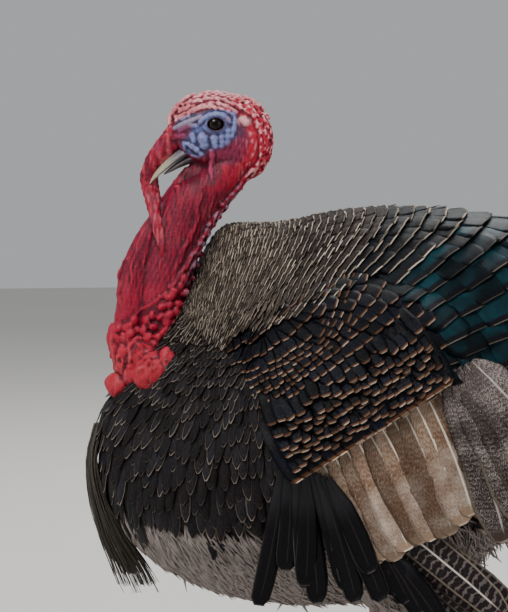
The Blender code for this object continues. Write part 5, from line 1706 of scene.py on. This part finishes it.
def skin_tint(tints, points, crease, snood, stripe):
    """Colours of the bare skin from where its folds lie and how deep its creases are, with painted shade
    in the creases.
    """
    x = points[:, 0] + MIDDLE_X
    z = points[:, 2]
    ex, ez = x - EYE.x - FOLD_SHIFT, z - EYE.z
    # crease is the skin's height over its smoothed self; the hollow mask paints shade into the creases.
    ridge = smooth(-0.1, 0.9, crease)
    painted_crease_shade = smooth(0.15, -0.8, crease)

    def paint(mask, shade, strength):
        nonlocal skin
        share = (mask * strength)[:, None]
        skin = skin * (1 - share) + np.array(shade) * share

    crimson, red, coral, blush, lilac, slate = (np.array(shade) for shade in (tints.crimson, tints.red,
        tints.coral, tints.blush, tints.lilac, tints.slate))
    patch, specks, broad = lumps(points, 230), lumps(points, 620), lumps(points, 70)
    streak = lumps(points, 420, 160, 60)
    behind = np.interp(z, [0.39, 0.455, 0.5, 0.532, 0.557, 0.583, 0.604], [-0.108, -0.104, -0.099, -0.091,
        -0.077, -0.056, -0.038])
    skin = np.tile(red * 0.9, (len(points), 1))
    throat = smooth(-0.062, -0.085, x + 0.4 * (z - 0.6)) * smooth(0.44, 0.47, z)
    throat = throat * np.maximum(smooth(0.612, 0.598, z), smooth(-0.082, -0.09, x))
    paint(throat, crimson, 0.95)
    # Painted highlight on the crests of the throat's fine folds, painted shade in their troughs.
    paint(throat * smooth(0.1, 0.8, stripe), red * 0.75 + coral * 0.1, 0.45)
    paint(throat * smooth(0.1, -0.8, stripe), crimson * 0.5, 0.6)
    paint(throat * smooth(0.1, 0.6, broad), blush * 0.1 + red * 0.45, 0.3)
    paint(throat * smooth(0.1, 0.5, streak), red * 0.9, 0.4)
    # Painted highlight: crests of the throat's folds lighter.
    paint(throat * smooth(0.5, 1.4, crease), red * 1.05 + blush * 0.04, 0.6)
    cheek = np.maximum(blob(ex, ez, (0.028, -0.026), 0.024, 0.026, -20),
        blob(ex, ez, (0.01, -0.044), 0.024, 0.016, 35))
    paint(cheek, red * 0.75, 0.7)
    behind_ear = smooth(0.018, 0.03, ex)[:, None]
    paint(cheek * smooth(0.1, 0.4, streak), behind_ear * (blush * 0.6 + red * 0.3) + (1 - behind_ear) *
        red * 0.9, 0.6)
    paint(cheek * smooth(-0.05, -0.35, streak), crimson * 0.8, 0.8)
    lobes = smooth(0.462, 0.438, z)
    paint(lobes, coral, 0.9)
    paint(smooth(0.425, 0.445, z) * smooth(0.505, 0.485, z), red * 0.7 + crimson * 0.3, 0.6)
    paint(lobes * smooth(-0.1, 0.4, broad), red * 0.8, 0.6)
    paint(lobes * smooth(0.1, 0.5, streak), blush * 0.2 + coral * 0.8, 0.4)
    crown = smooth(-0.002, 0.008, ez - 0.14 * ex) * smooth(0.56, 0.63, z)
    paint(crown, blush * 0.2 + red * 0.65, 0.95)
    # Crests lighter: partly the crown folds' own pinkish white, partly painted highlight.
    paint(crown * smooth(0.15, 0.9, ridge), blush * 0.92 + red * 0.08, 0.95)
    paint(crown * ridge * smooth(-0.05, 0.25, patch), red * 0.7 + blush * 0.3, 0.75)
    paint(blob(ex, ez, (-0.028, 0.0135), 0.013, 0.009, 20) * ridge, coral * 0.65 + blush * 0.25, 0.75)
    back = smooth(0.013, 0.024, ex) * smooth(0.545, 0.6, z)
    back = back * smooth(0.008, 0.02, ex + 0.5 * (ez + 0.02))
    paint(back, red, 0.9)
    # Bead tips pinkish white on crests: partly their own colour, partly painted highlight.
    paint(back * ridge * smooth(-0.1, 0.2, patch), blush * 1.05, 0.9)
    nape = smooth(-0.014, -0.003, x - behind) * smooth(0.6, 0.57, z) * smooth(0.42, 0.45, z)
    paint(nape * smooth(-0.05, 0.25, patch), blush * 0.55 + lilac * 0.6, 0.85)
    face = np.maximum.reduce([blob(ex, ez, (-0.003, -0.007), 0.0225, 0.018), blob(ex, ez, (-0.018, -0.02),
        0.0135, 0.0095, -35), blob(ex, ez, (-0.024, 0.002), 0.015, 0.0062, 28),
        blob(ex, ez, (0.002, 0.009), 0.016, 0.0052), blob(ex, ez, (0.0178, -0.001), 0.0048, 0.014)])
    pale = lilac * 1.35 + np.array((0.1, 0.07, 0.03))
    paint(face, lilac, 0.98)
    # Crests of the face paler: partly their own colour, partly painted highlight.
    paint(face * ridge, pale, 0.7)
    paint(face * smooth(0.05, 0.35, patch), lilac * 0.6 + red * 0.25, 0.35)
    paint(blob(ex, ez, (-0.024, 0.002), 0.015, 0.0058, 28), (0.24, 0.18, 0.22), 0.65)
    lores = blob(ex, ez, (-0.03, -0.009), 0.012, 0.0062, 42)
    paint(lores, crimson * 1.3 + lilac * 0.15, 0.85)
    jaw = np.maximum(blob(ex, ez, (0.008, -0.027), 0.022, 0.011),
        blob(ex, ez, (0.024, -0.012), 0.008, 0.016))
    paint(jaw * (1 - face), slate * 0.8 + crimson * 0.9, 0.75)
    # The chin darker under the lower beak: its own deep crimson, deepened as painted shade.
    chin = blob(ex, ez, (-0.016, -0.04), 0.024, 0.017, -25) * (1 - face)
    paint(chin, crimson * 0.55, 0.9)
    # Painted highlight on the crests of the chin's fine folds.
    paint(chin * smooth(0.05, 0.7, stripe), crimson + red * 0.2, 0.8)
    # Painted shade: the face's creases darkened to slate.
    paint(face * painted_crease_shade, slate, 0.95)
    paint(blob(ex, ez, (0.0275, 0.003), 0.0072, 0.0052), blush, 0.85)
    paint(blob(ex, ez, (0.024, -0.0065), 0.0045, 0.0062), (0.07, 0.024, 0.055), 0.85)
    paint(blob(x - EYE.x, z - EYE.z, (0.0, 0.0), 0.0098, 0.0086), (0.03, 0.018, 0.04), 0.92)
    paint(blob(ex, ez, (-0.0022, -0.038), 0.0036, 0.015), red * 0.75 + lilac * 0.25, 0.8)
    paint(snood, red * 0.55 + crimson * 0.4, 0.97)
    paint(snood * smooth(0.05, 0.4, streak), blush * 0.25 + red * 0.6, 0.7)
    paint(snood * smooth(-0.05, -0.4, streak), crimson * 0.6, 0.8)
    paint(snood * smooth(0.1, 0.5, broad), lilac * 0.25 + red * 0.5, 0.4)
    # Painted shade: creases outside the face darkened towards deep crimson.
    paint(painted_crease_shade * (1 - face), crimson * 0.4, 0.92)
    skin = skin * (1 + 0.25 * specks)[:, None]
    body = smooth(0.008, 0.016, x - behind) * smooth(0.585, 0.565, z)
    # Painted shade: skin seen between the feathers is dark like the shade there.
    paint(body, UNDER_COAT_SHADE, 0.97)
    paint(smooth(0.392, 0.38, z), UNDER_COAT_SHADE, 0.97)
    return np.clip(skin, 0.001, 1.0)


def throat_stripes(points):
    """Fine upright folds of the dewlap's sides and cheeks, in height of their crests."""
    x, z = points[:, 0] + MIDDLE_X, points[:, 2]
    across = (x + 0.106) * 0.93 + (z - 0.59) * -0.36
    wave = np.sin(across * tau / 0.004 + lumps(points, 14, 4, 22) * 9) * 0.35
    wave = wave + lumps(points, 560, 40, 60) * 1.3
    strong = smooth(0.462, 0.49, z) * smooth(-0.06, -0.09, x)
    strong = strong * np.maximum(smooth(0.605, 0.585, z), smooth(0.618, 0.606, z) *
        smooth(-0.07, -0.08, x))
    ex, ez = x - EYE.x, z - EYE.z
    return wave * np.maximum(strong, 0.8 * blob(ex, ez, (0.03, -0.03), 0.024, 0.026, -20))


def wrinkles(points):
    """Uneven flesh of crown, snood and lobes."""
    z = points[:, 2]
    firm = np.maximum(smooth(0.48, 0.455, z), smooth(0.645, 0.655, z) * 0.8)
    low = lumps(points, 190) * (0.0004 + 0.0009 * smooth(0.415, 0.44, z))
    low = low + lumps(points, 95) * 0.0016 + lumps(points, 420, 420, 120) * 0.0004
    fine = lumps(points, 260) * 0.0004 + lumps(points, 620) * 0.0002
    share = smooth(0.48, 0.455, z)
    return low * share + fine * (0.4 + 0.6 * firm) * (1 - share)


def build_skin(context):
    """Head, neck, dewlap and lobes fused with their folds, joined to the feathered body's skin."""
    sizes = context.scene.turkey_skin
    tints = context.scene.turkey_colours
    base = Shape()
    base.add_ovals(HEAD_STATIONS, 40, 40, square=2.1)
    base.add_ovals(NECK_STATIONS, 50, 40)
    base.add_ovals(DEWLAP_STATIONS, 40, 32, square=2.2)
    tree = base.tree()
    skin_folds(base, tree)
    cloud = bead_cloud(sizes, tree, base.tree()) + crown_cloud(tree)
    snood_first = len(base.points)
    snood_shape(base)
    snood_tree = BVHTree.FromPolygons(base.points[snood_first:],
        [tuple(corner - snood_first for corner in face) for face in base.faces if min(face) >=
        snood_first])
    obj = base.object("skin")
    joined(obj, scatter("beads", cloud))
    fused(obj, sizes.voxel)
    mesh = obj.data
    soft = averaged(mesh, coordinates(mesh), 1)
    wave = throat_stripes(soft)
    soft = soft + normals(mesh) * (wave * 0.00034 + wrinkles(soft))[:, None]
    place_vertices(mesh, soft)
    broad = averaged(mesh, soft, 16)
    # Height of the skin over its smoothed self: it paints shade into creases and a lighter colour onto
    # crests.
    crease = ((soft - broad) * normals(mesh)).sum(axis=1) / 0.00045
    away = np.sqrt(((soft[:, 0] + MIDDLE_X - EYE.x) / EYE_OPENING[0]) ** 2 +
        ((soft[:, 2] - EYE.z) / EYE_OPENING[1]) ** 2)
    socket = 1 - smooth(0.9, 1.06, away)
    limit = np.sign(soft[:, 1]) * (EYE_DEPTH - 0.001)
    deep = np.abs(soft[:, 1]) > EYE_DEPTH - 0.001
    soft[:, 1] = np.where(deep, soft[:, 1] * (1 - socket) + limit * socket, soft[:, 1])
    place_vertices(mesh, soft)
    near_snood = np.array([snood_tree.find_nearest(Vector(point) + Vector((MIDDLE_X, 0, 0)))[3] < 0.001
        for point in soft], dtype=float)
    shade = skin_tint(tints, soft, crease, near_snood, wave)
    body = torso_shape()
    for _, sign in SIDES:
        body.add_tube(thigh_track(sign, 5), THIGH_RADII, 24)
    under = fused(body.object("body_skin"), 0.008)
    depth = context.scene.turkey_coat.depth + 0.001
    place_vertices(under.data, averaged(under.data, coordinates(under.data), 2) - normals(under.data) *
        depth)
    set_tint(mesh, shade)
    # Painted shade: the body's skin under the coat is dark like the shade between the feathers.
    set_tint(under.data, np.tile(UNDER_COAT_SHADE, (len(under.data.vertices), 1)))
    thin = obj.modifiers.new("Thin", "DECIMATE")
    thin.ratio = min(1.0, sizes.faces / len(triangles(mesh)))
    join_with = obj.modifiers.new("Join", "BOOLEAN")
    join_with.operation = "UNION"
    join_with.solver = "MANIFOLD"
    join_with.object = under
    applied(obj)
    bpy.data.objects.remove(under, do_unlink=True)
    obj.data.materials.clear()
    dressed(obj, skin_finish("bare skin"), "skin_red", "torso", "neck", "head", "dewlap",
        "caruncles_base", "snood", "thigh_left", "thigh_right")


def build_eyes(context):
    finish = eye_finish("eye")
    for side, sign in SIDES:
        shape = Shape()
        shape.add_ball((EYE.x, sign * EYE_DEPTH, EYE.z), (EYE_RADIUS * 0.99,) * 3, sides=40, rings=28)
        dressed(shape.object(f"eyeball_{side}"), finish, "eye", f"eye_{side}")


def beak_half(name, stations, upper):
    """One half of the beak; its cutting edge is drawn in."""
    rows = between(stations, 40)
    sides = 32
    rings = []
    for x, z, high, wide in rows:
        ring = []
        for step in range(sides):
            turn = tau * step / sides
            rise = cos(turn)
            flat = 0.55 if (rise < 0) == upper else 1.0
            ring.append(Vector((x, wide * sin(turn) * (1 - 0.15 * max(rise, 0)), z + high * rise * flat)))
        rings.append(ring)
    shape = Shape()
    shape.add_rings(rings)
    return shape.object(name)


def build_beak(context):
    finish = horn_finish("beak horn", (0.09, 0.08, 0.105), (0.32, 0.3, 0.205), -0.112, -0.129)
    lower = horn_finish("lower beak horn", (0.035, 0.02, 0.028), (0.1, 0.095, 0.085), -0.105, -0.124)
    for name, node, stations, upper, paint in (("beak_top", "beak_upper", UPPER_BEAK_STATIONS, True,
            finish), ("beak_bottom", "beak_lower", LOWER_BEAK_STATIONS, False, lower)):
        dressed(beak_half(name, stations, upper), paint, "horn", node)


def build_beard(context):
    """Coarse bristles from a knob on the breast, made by Geometry Nodes."""
    draw = random.Random(41)
    points, edges, widths = [], [], []
    for _ in range(330):
        across, depth = draw.gauss(0, 0.5), draw.uniform(-1, 1)
        across = max(-1.0, min(1.0, across))
        length = draw.uniform(0.72, 1.03) - 0.1 * abs(across)
        wave, phase = draw.uniform(0.0, 0.0014), draw.uniform(0, 6)
        first = len(points)
        count = 14
        for step, (x, z, thick, wide) in enumerate(between(BEARD_STATIONS, count)):
            share = step / (count - 1)
            if share > length:
                break
            points.append(bird((x + depth * thick + wave * sin(share * 9 + phase), across * wide + wave *
                cos(share * 8 + phase), z)))
            widths.append(0.00055 * (1 - 0.55 * share) * draw.uniform(0.8, 1.2))
        edges.extend((index, index + 1) for index in range(first, len(points) - 1))
    mesh = bpy.data.meshes.new("beard_bristles")
    mesh.from_pydata(points, edges, [])
    layer = mesh.attributes.new("width", "FLOAT", "POINT")
    layer.data.foreach_set("value", widths)
    obj = add_object("beard_bristles", mesh)
    finish = plain_finish("beard bristles", (0.006, 0.005, 0.005), (0.075, 0.062, 0.045), 420.0, 0.32)
    grown(obj, bpy.data.node_groups["Turkey strands"], Sides=4, Growth=1.0, Finish=finish)
    dressed(obj, None, "beard", "beard")


def leg_tint(mesh, shade):
    points = coordinates(mesh)
    patch = np.array([noise.noise(Vector(point) * 60) for point in points])
    fresh = np.array(shade)
    dusk = fresh * 0.45 + np.array((0.01, 0.012, 0.014))
    share = smooth(-0.2, 0.6, patch)[:, None]
    set_tint(mesh, fresh * (1 - 0.5 * share) + dusk * 0.5 * share)


def shank_rings(hock, ankle):
    """Rings of the bare shank, its front raised in two rows of scutes."""
    down = (ankle - hock).normalized()
    side = Vector((0, 1, 0))
    front = down.cross(side)
    front = front if front.x < 0 else -front
    places, radii = zip(*SHANK_PROFILE)
    scutes, sides, count = 17, 44, 170
    rings = []
    for step in range(count):
        share = -0.06 + 1.12 * step / (count - 1)
        radius = float(np.interp(share, places, radii))
        ring = []
        for turn_step in range(sides):
            turn = tau * turn_step / sides
            facing = cos(turn)
            row = 0.5 if sin(turn) > 0 else 0.0
            beat = (share * scutes + row) % 1.0
            seam = min(1.0, abs(sin(turn)) * 9)
            rise = 0.0013 * (1 - (2 * beat - 1) ** 8) * seam if facing > -0.1 else 0.0002
            out = front * facing * 1.12 + side * sin(turn) * 0.86
            ring.append(hock.lerp(ankle, share) + out * (radius + rise))
        rings.append(ring)
    return rings


def build_legs(context):
    """Scaled shanks and feet, claws and spurs."""
    tints = context.scene.turkey_colours
    scaly = scale_finish("leg scales", list(tints.leg))
    horny = plain_finish("claw horn", (0.05, 0.042, 0.036), (0.16, 0.13, 0.105), 200.0, 0.35)
    for side, sign in SIDES:
        hock = Vector((HOCK[0], sign * HIP_Y, HOCK[1]))
        ankle = Vector((ANKLE[0] + 0.002, sign * HIP_Y, ANKLE[1]))
        centre = Vector((ANKLE[0], sign * HIP_Y, 0.0))
        shape = Shape()
        shape.add_rings(shank_rings(hock, ankle))
        claws = Shape()
        for _, turn, length in TOES:
            angle = radians(turn)
            heading = Vector((-cos(angle), sign * -sin(angle), 0))
            across = Vector((-heading.y, heading.x, 0))
            count = max(24, round(length / 0.0011))
            rings = []
            for step in range(count):
                share = step / (count - 1)
                knuckle = 0.0007 * sin(share * tau * 3.2)
                radius = TOE_RADIUS * (1.12 - 0.42 * share) + knuckle
                beat = (share * length / 0.0052) % 1.0
                ring = []
                for turn_step in range(24):
                    way = tau * turn_step / 24
                    rise = 0.0009 * (1 - (2 * beat - 1) ** 6) if sin(way) > 0.25 else 0.0
                    ring.append(centre + heading * length * share +
                        Vector((0, 0, 0.0088 - 0.0028 * share)) + across * cos(way) * radius +
                        Vector((0, 0, sin(way) * (radius + rise))))
                rings.append(ring)
            shape.add_rings(rings)
            rows, radii = [], []
            for step in range(14):
                share = step / 13
                rows.append(centre + heading * (length + 0.0005) + heading * CLAW_LENGTH *
                    (share * 1.15 - 0.15) + Vector((0, 0, 0.0042 - 0.006 * share ** 1.6)))
                radii.append(0.004 * (1 - 0.88 * share))
            claws.add_tube(rows, radii, 14)
        shape.add_tube([centre + Vector((0.002, 0, height)) for height in (0.0, 0.007, 0.014, 0.022)],
            [0.0135, 0.015, 0.0145, 0.012], 24)
        foot = fused(shape.object(f"leg_{side}"), 0.0009)
        points = averaged(foot.data, coordinates(foot.data), 1)
        points[:, 2] = np.maximum(points[:, 2], 0.0)
        place_vertices(foot.data, points)
        leg_tint(foot.data, tints.leg)
        dressed(foot, scaly, "leg_scale", f"shank_{side}", f"foot_{side}")
        claw = claws.object(f"claws_{side}")
        low = coordinates(claw.data)
        low[:, 2] = np.maximum(low[:, 2], 0.0004)
        place_vertices(claw.data, low)
        dressed(claw, horny, "horn", *(f"claw_{side}_{name}" for name, _, _ in TOES))
        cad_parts[f"spur_{side}"].data.materials.clear()
        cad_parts[f"spur_{side}"].data.materials.append(horny)


def build_stage(context):
    scene = context.scene
    mesh = bpy.data.meshes.new("floor")
    reach = 6.0
    mesh.from_pydata([(-reach, -reach, 0), (reach, -reach, 0), (reach, reach, 0), (-reach, reach, 0)], [],
        [(0, 1, 2, 3)])
    floor = bpy.data.objects.new("floor", mesh)
    scene.collection.objects.link(floor)
    mesh.materials.append(plain_finish("pale floor", (0.6, 0.585, 0.56), (0.64, 0.625, 0.6), 3.0, 0.8))
    target = bird(VIEW_TARGET)
    back = Vector((sin(VIEW_AZIMUTH) * cos(VIEW_ELEVATION), -cos(VIEW_AZIMUTH) * cos(VIEW_ELEVATION),
        sin(VIEW_ELEVATION)))
    camera = bpy.data.cameras.new("camera")
    camera.sensor_fit = "AUTO"
    camera.sensor_width = 36.0
    camera.lens = camera.sensor_width * VIEW_DISTANCE / VIEW_HEIGHT
    eye = bpy.data.objects.new("camera", camera)
    eye.rotation_mode = "QUATERNION"
    eye.location = target + back * VIEW_DISTANCE
    eye.rotation_quaternion = (-back).to_track_quat("-Z", "Y")
    scene.collection.objects.link(eye)
    scene.camera = eye
    for name, place, size, power in (("key", (-1.3, -1.7, 3.0), 1.5, 105.0),
            ("fill", (2.4, -2.2, 1.2), 2.4, 22.0), ("rim", (0.6, 2.2, 2.6), 1.6, 70.0),
            ("front", (-3.0, -0.6, 1.0), 1.8, 20.0)):
        light = bpy.data.lights.new(name, "AREA")
        light.shape = "DISK"
        light.size = size
        light.energy = power
        lamp = bpy.data.objects.new(name, light)
        lamp.location = place
        lamp.rotation_mode = "QUATERNION"
        lamp.rotation_quaternion = (Vector(place) - target).to_track_quat("Z", "Y")
        scene.collection.objects.link(lamp)
    world = bpy.data.worlds.new("studio")
    world.use_nodes = True
    world.node_tree.nodes["Background"].inputs["Color"].default_value = (0.86, 0.88, 0.9, 1.0)
    world.node_tree.nodes["Background"].inputs["Strength"].default_value = 0.48
    scene.world = world


class TURKEY_OT_stage(bpy.types.Operator):
    """Floor, studio lights and the camera at the photo's angle"""
    bl_idname = "turkey.stage"
    bl_label = "Stage"

    def execute(self, context):
        build_stage(context)
        return {"FINISHED"}


class TURKEY_OT_skin(bpy.types.Operator):
    """The one skin of head, neck, lobes and body"""
    bl_idname = "turkey.skin"
    bl_label = "Skin"

    def execute(self, context):
        build_skin(context)
        return {"FINISHED"}


class TURKEY_OT_face(bpy.types.Operator):
    """Eyes and both halves of the beak"""
    bl_idname = "turkey.face"
    bl_label = "Eyes and beak"

    def execute(self, context):
        build_eyes(context)
        build_beak(context)
        return {"FINISHED"}


class TURKEY_OT_plumage(bpy.types.Operator):
    """Body coat, wings and tail"""
    bl_idname = "turkey.plumage"
    bl_label = "Plumage"

    def execute(self, context):
        drape = build_coat(context)
        build_wings(context, drape)
        build_tail(context)
        return {"FINISHED"}


class TURKEY_OT_beard(bpy.types.Operator):
    """Bristles of the beard"""
    bl_idname = "turkey.beard"
    bl_label = "Beard"

    def execute(self, context):
        build_beard(context)
        return {"FINISHED"}


class TURKEY_OT_legs(bpy.types.Operator):
    """Shanks, feet, claws and spurs"""
    bl_idname = "turkey.legs"
    bl_label = "Legs"

    def execute(self, context):
        build_legs(context)
        return {"FINISHED"}


class TURKEY_PT_panel(bpy.types.Panel):
    """Sizes, colours and pieces of the turkey"""
    bl_idname = "TURKEY_PT_panel"
    bl_label = "Turkey"
    bl_space_type = "VIEW_3D"
    bl_region_type = "UI"
    bl_category = "Turkey"

    def draw(self, context):
        for title, group in (("Skin", context.scene.turkey_skin), ("Coat", context.scene.turkey_coat),
                ("Colours", context.scene.turkey_colours)):
            box = self.layout.box()
            box.label(text=title)
            for key in group.__annotations__:
                box.prop(group, key)
        for operator in OPERATORS:
            self.layout.operator(operator.bl_idname)


OPERATORS = (TURKEY_OT_stage, TURKEY_OT_skin, TURKEY_OT_face, TURKEY_OT_plumage, TURKEY_OT_beard,
    TURKEY_OT_legs)
GROUPS = (("turkey_skin", TurkeySkinSizes), ("turkey_coat", TurkeyCoatSizes),
    ("turkey_colours", TurkeyColours))


def register():
    for _, group in GROUPS:
        bpy.utils.register_class(group)
    for name, group in GROUPS:
        setattr(bpy.types.Scene, name, PointerProperty(type=group))
    for made in OPERATORS + (TURKEY_PT_panel,):
        bpy.utils.register_class(made)


def unregister():
    for made in reversed(OPERATORS + (TURKEY_PT_panel,)):
        bpy.utils.unregister_class(made)
    for name, group in GROUPS:
        delattr(bpy.types.Scene, name)
        bpy.utils.unregister_class(group)


def main():
    register()
    scatter_tree()
    strand_tree()
    for operator in OPERATORS:
        family, name = operator.bl_idname.split(".")
        getattr(getattr(bpy.ops, family), name)()
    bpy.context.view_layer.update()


if __name__ == "__main__":
    main()
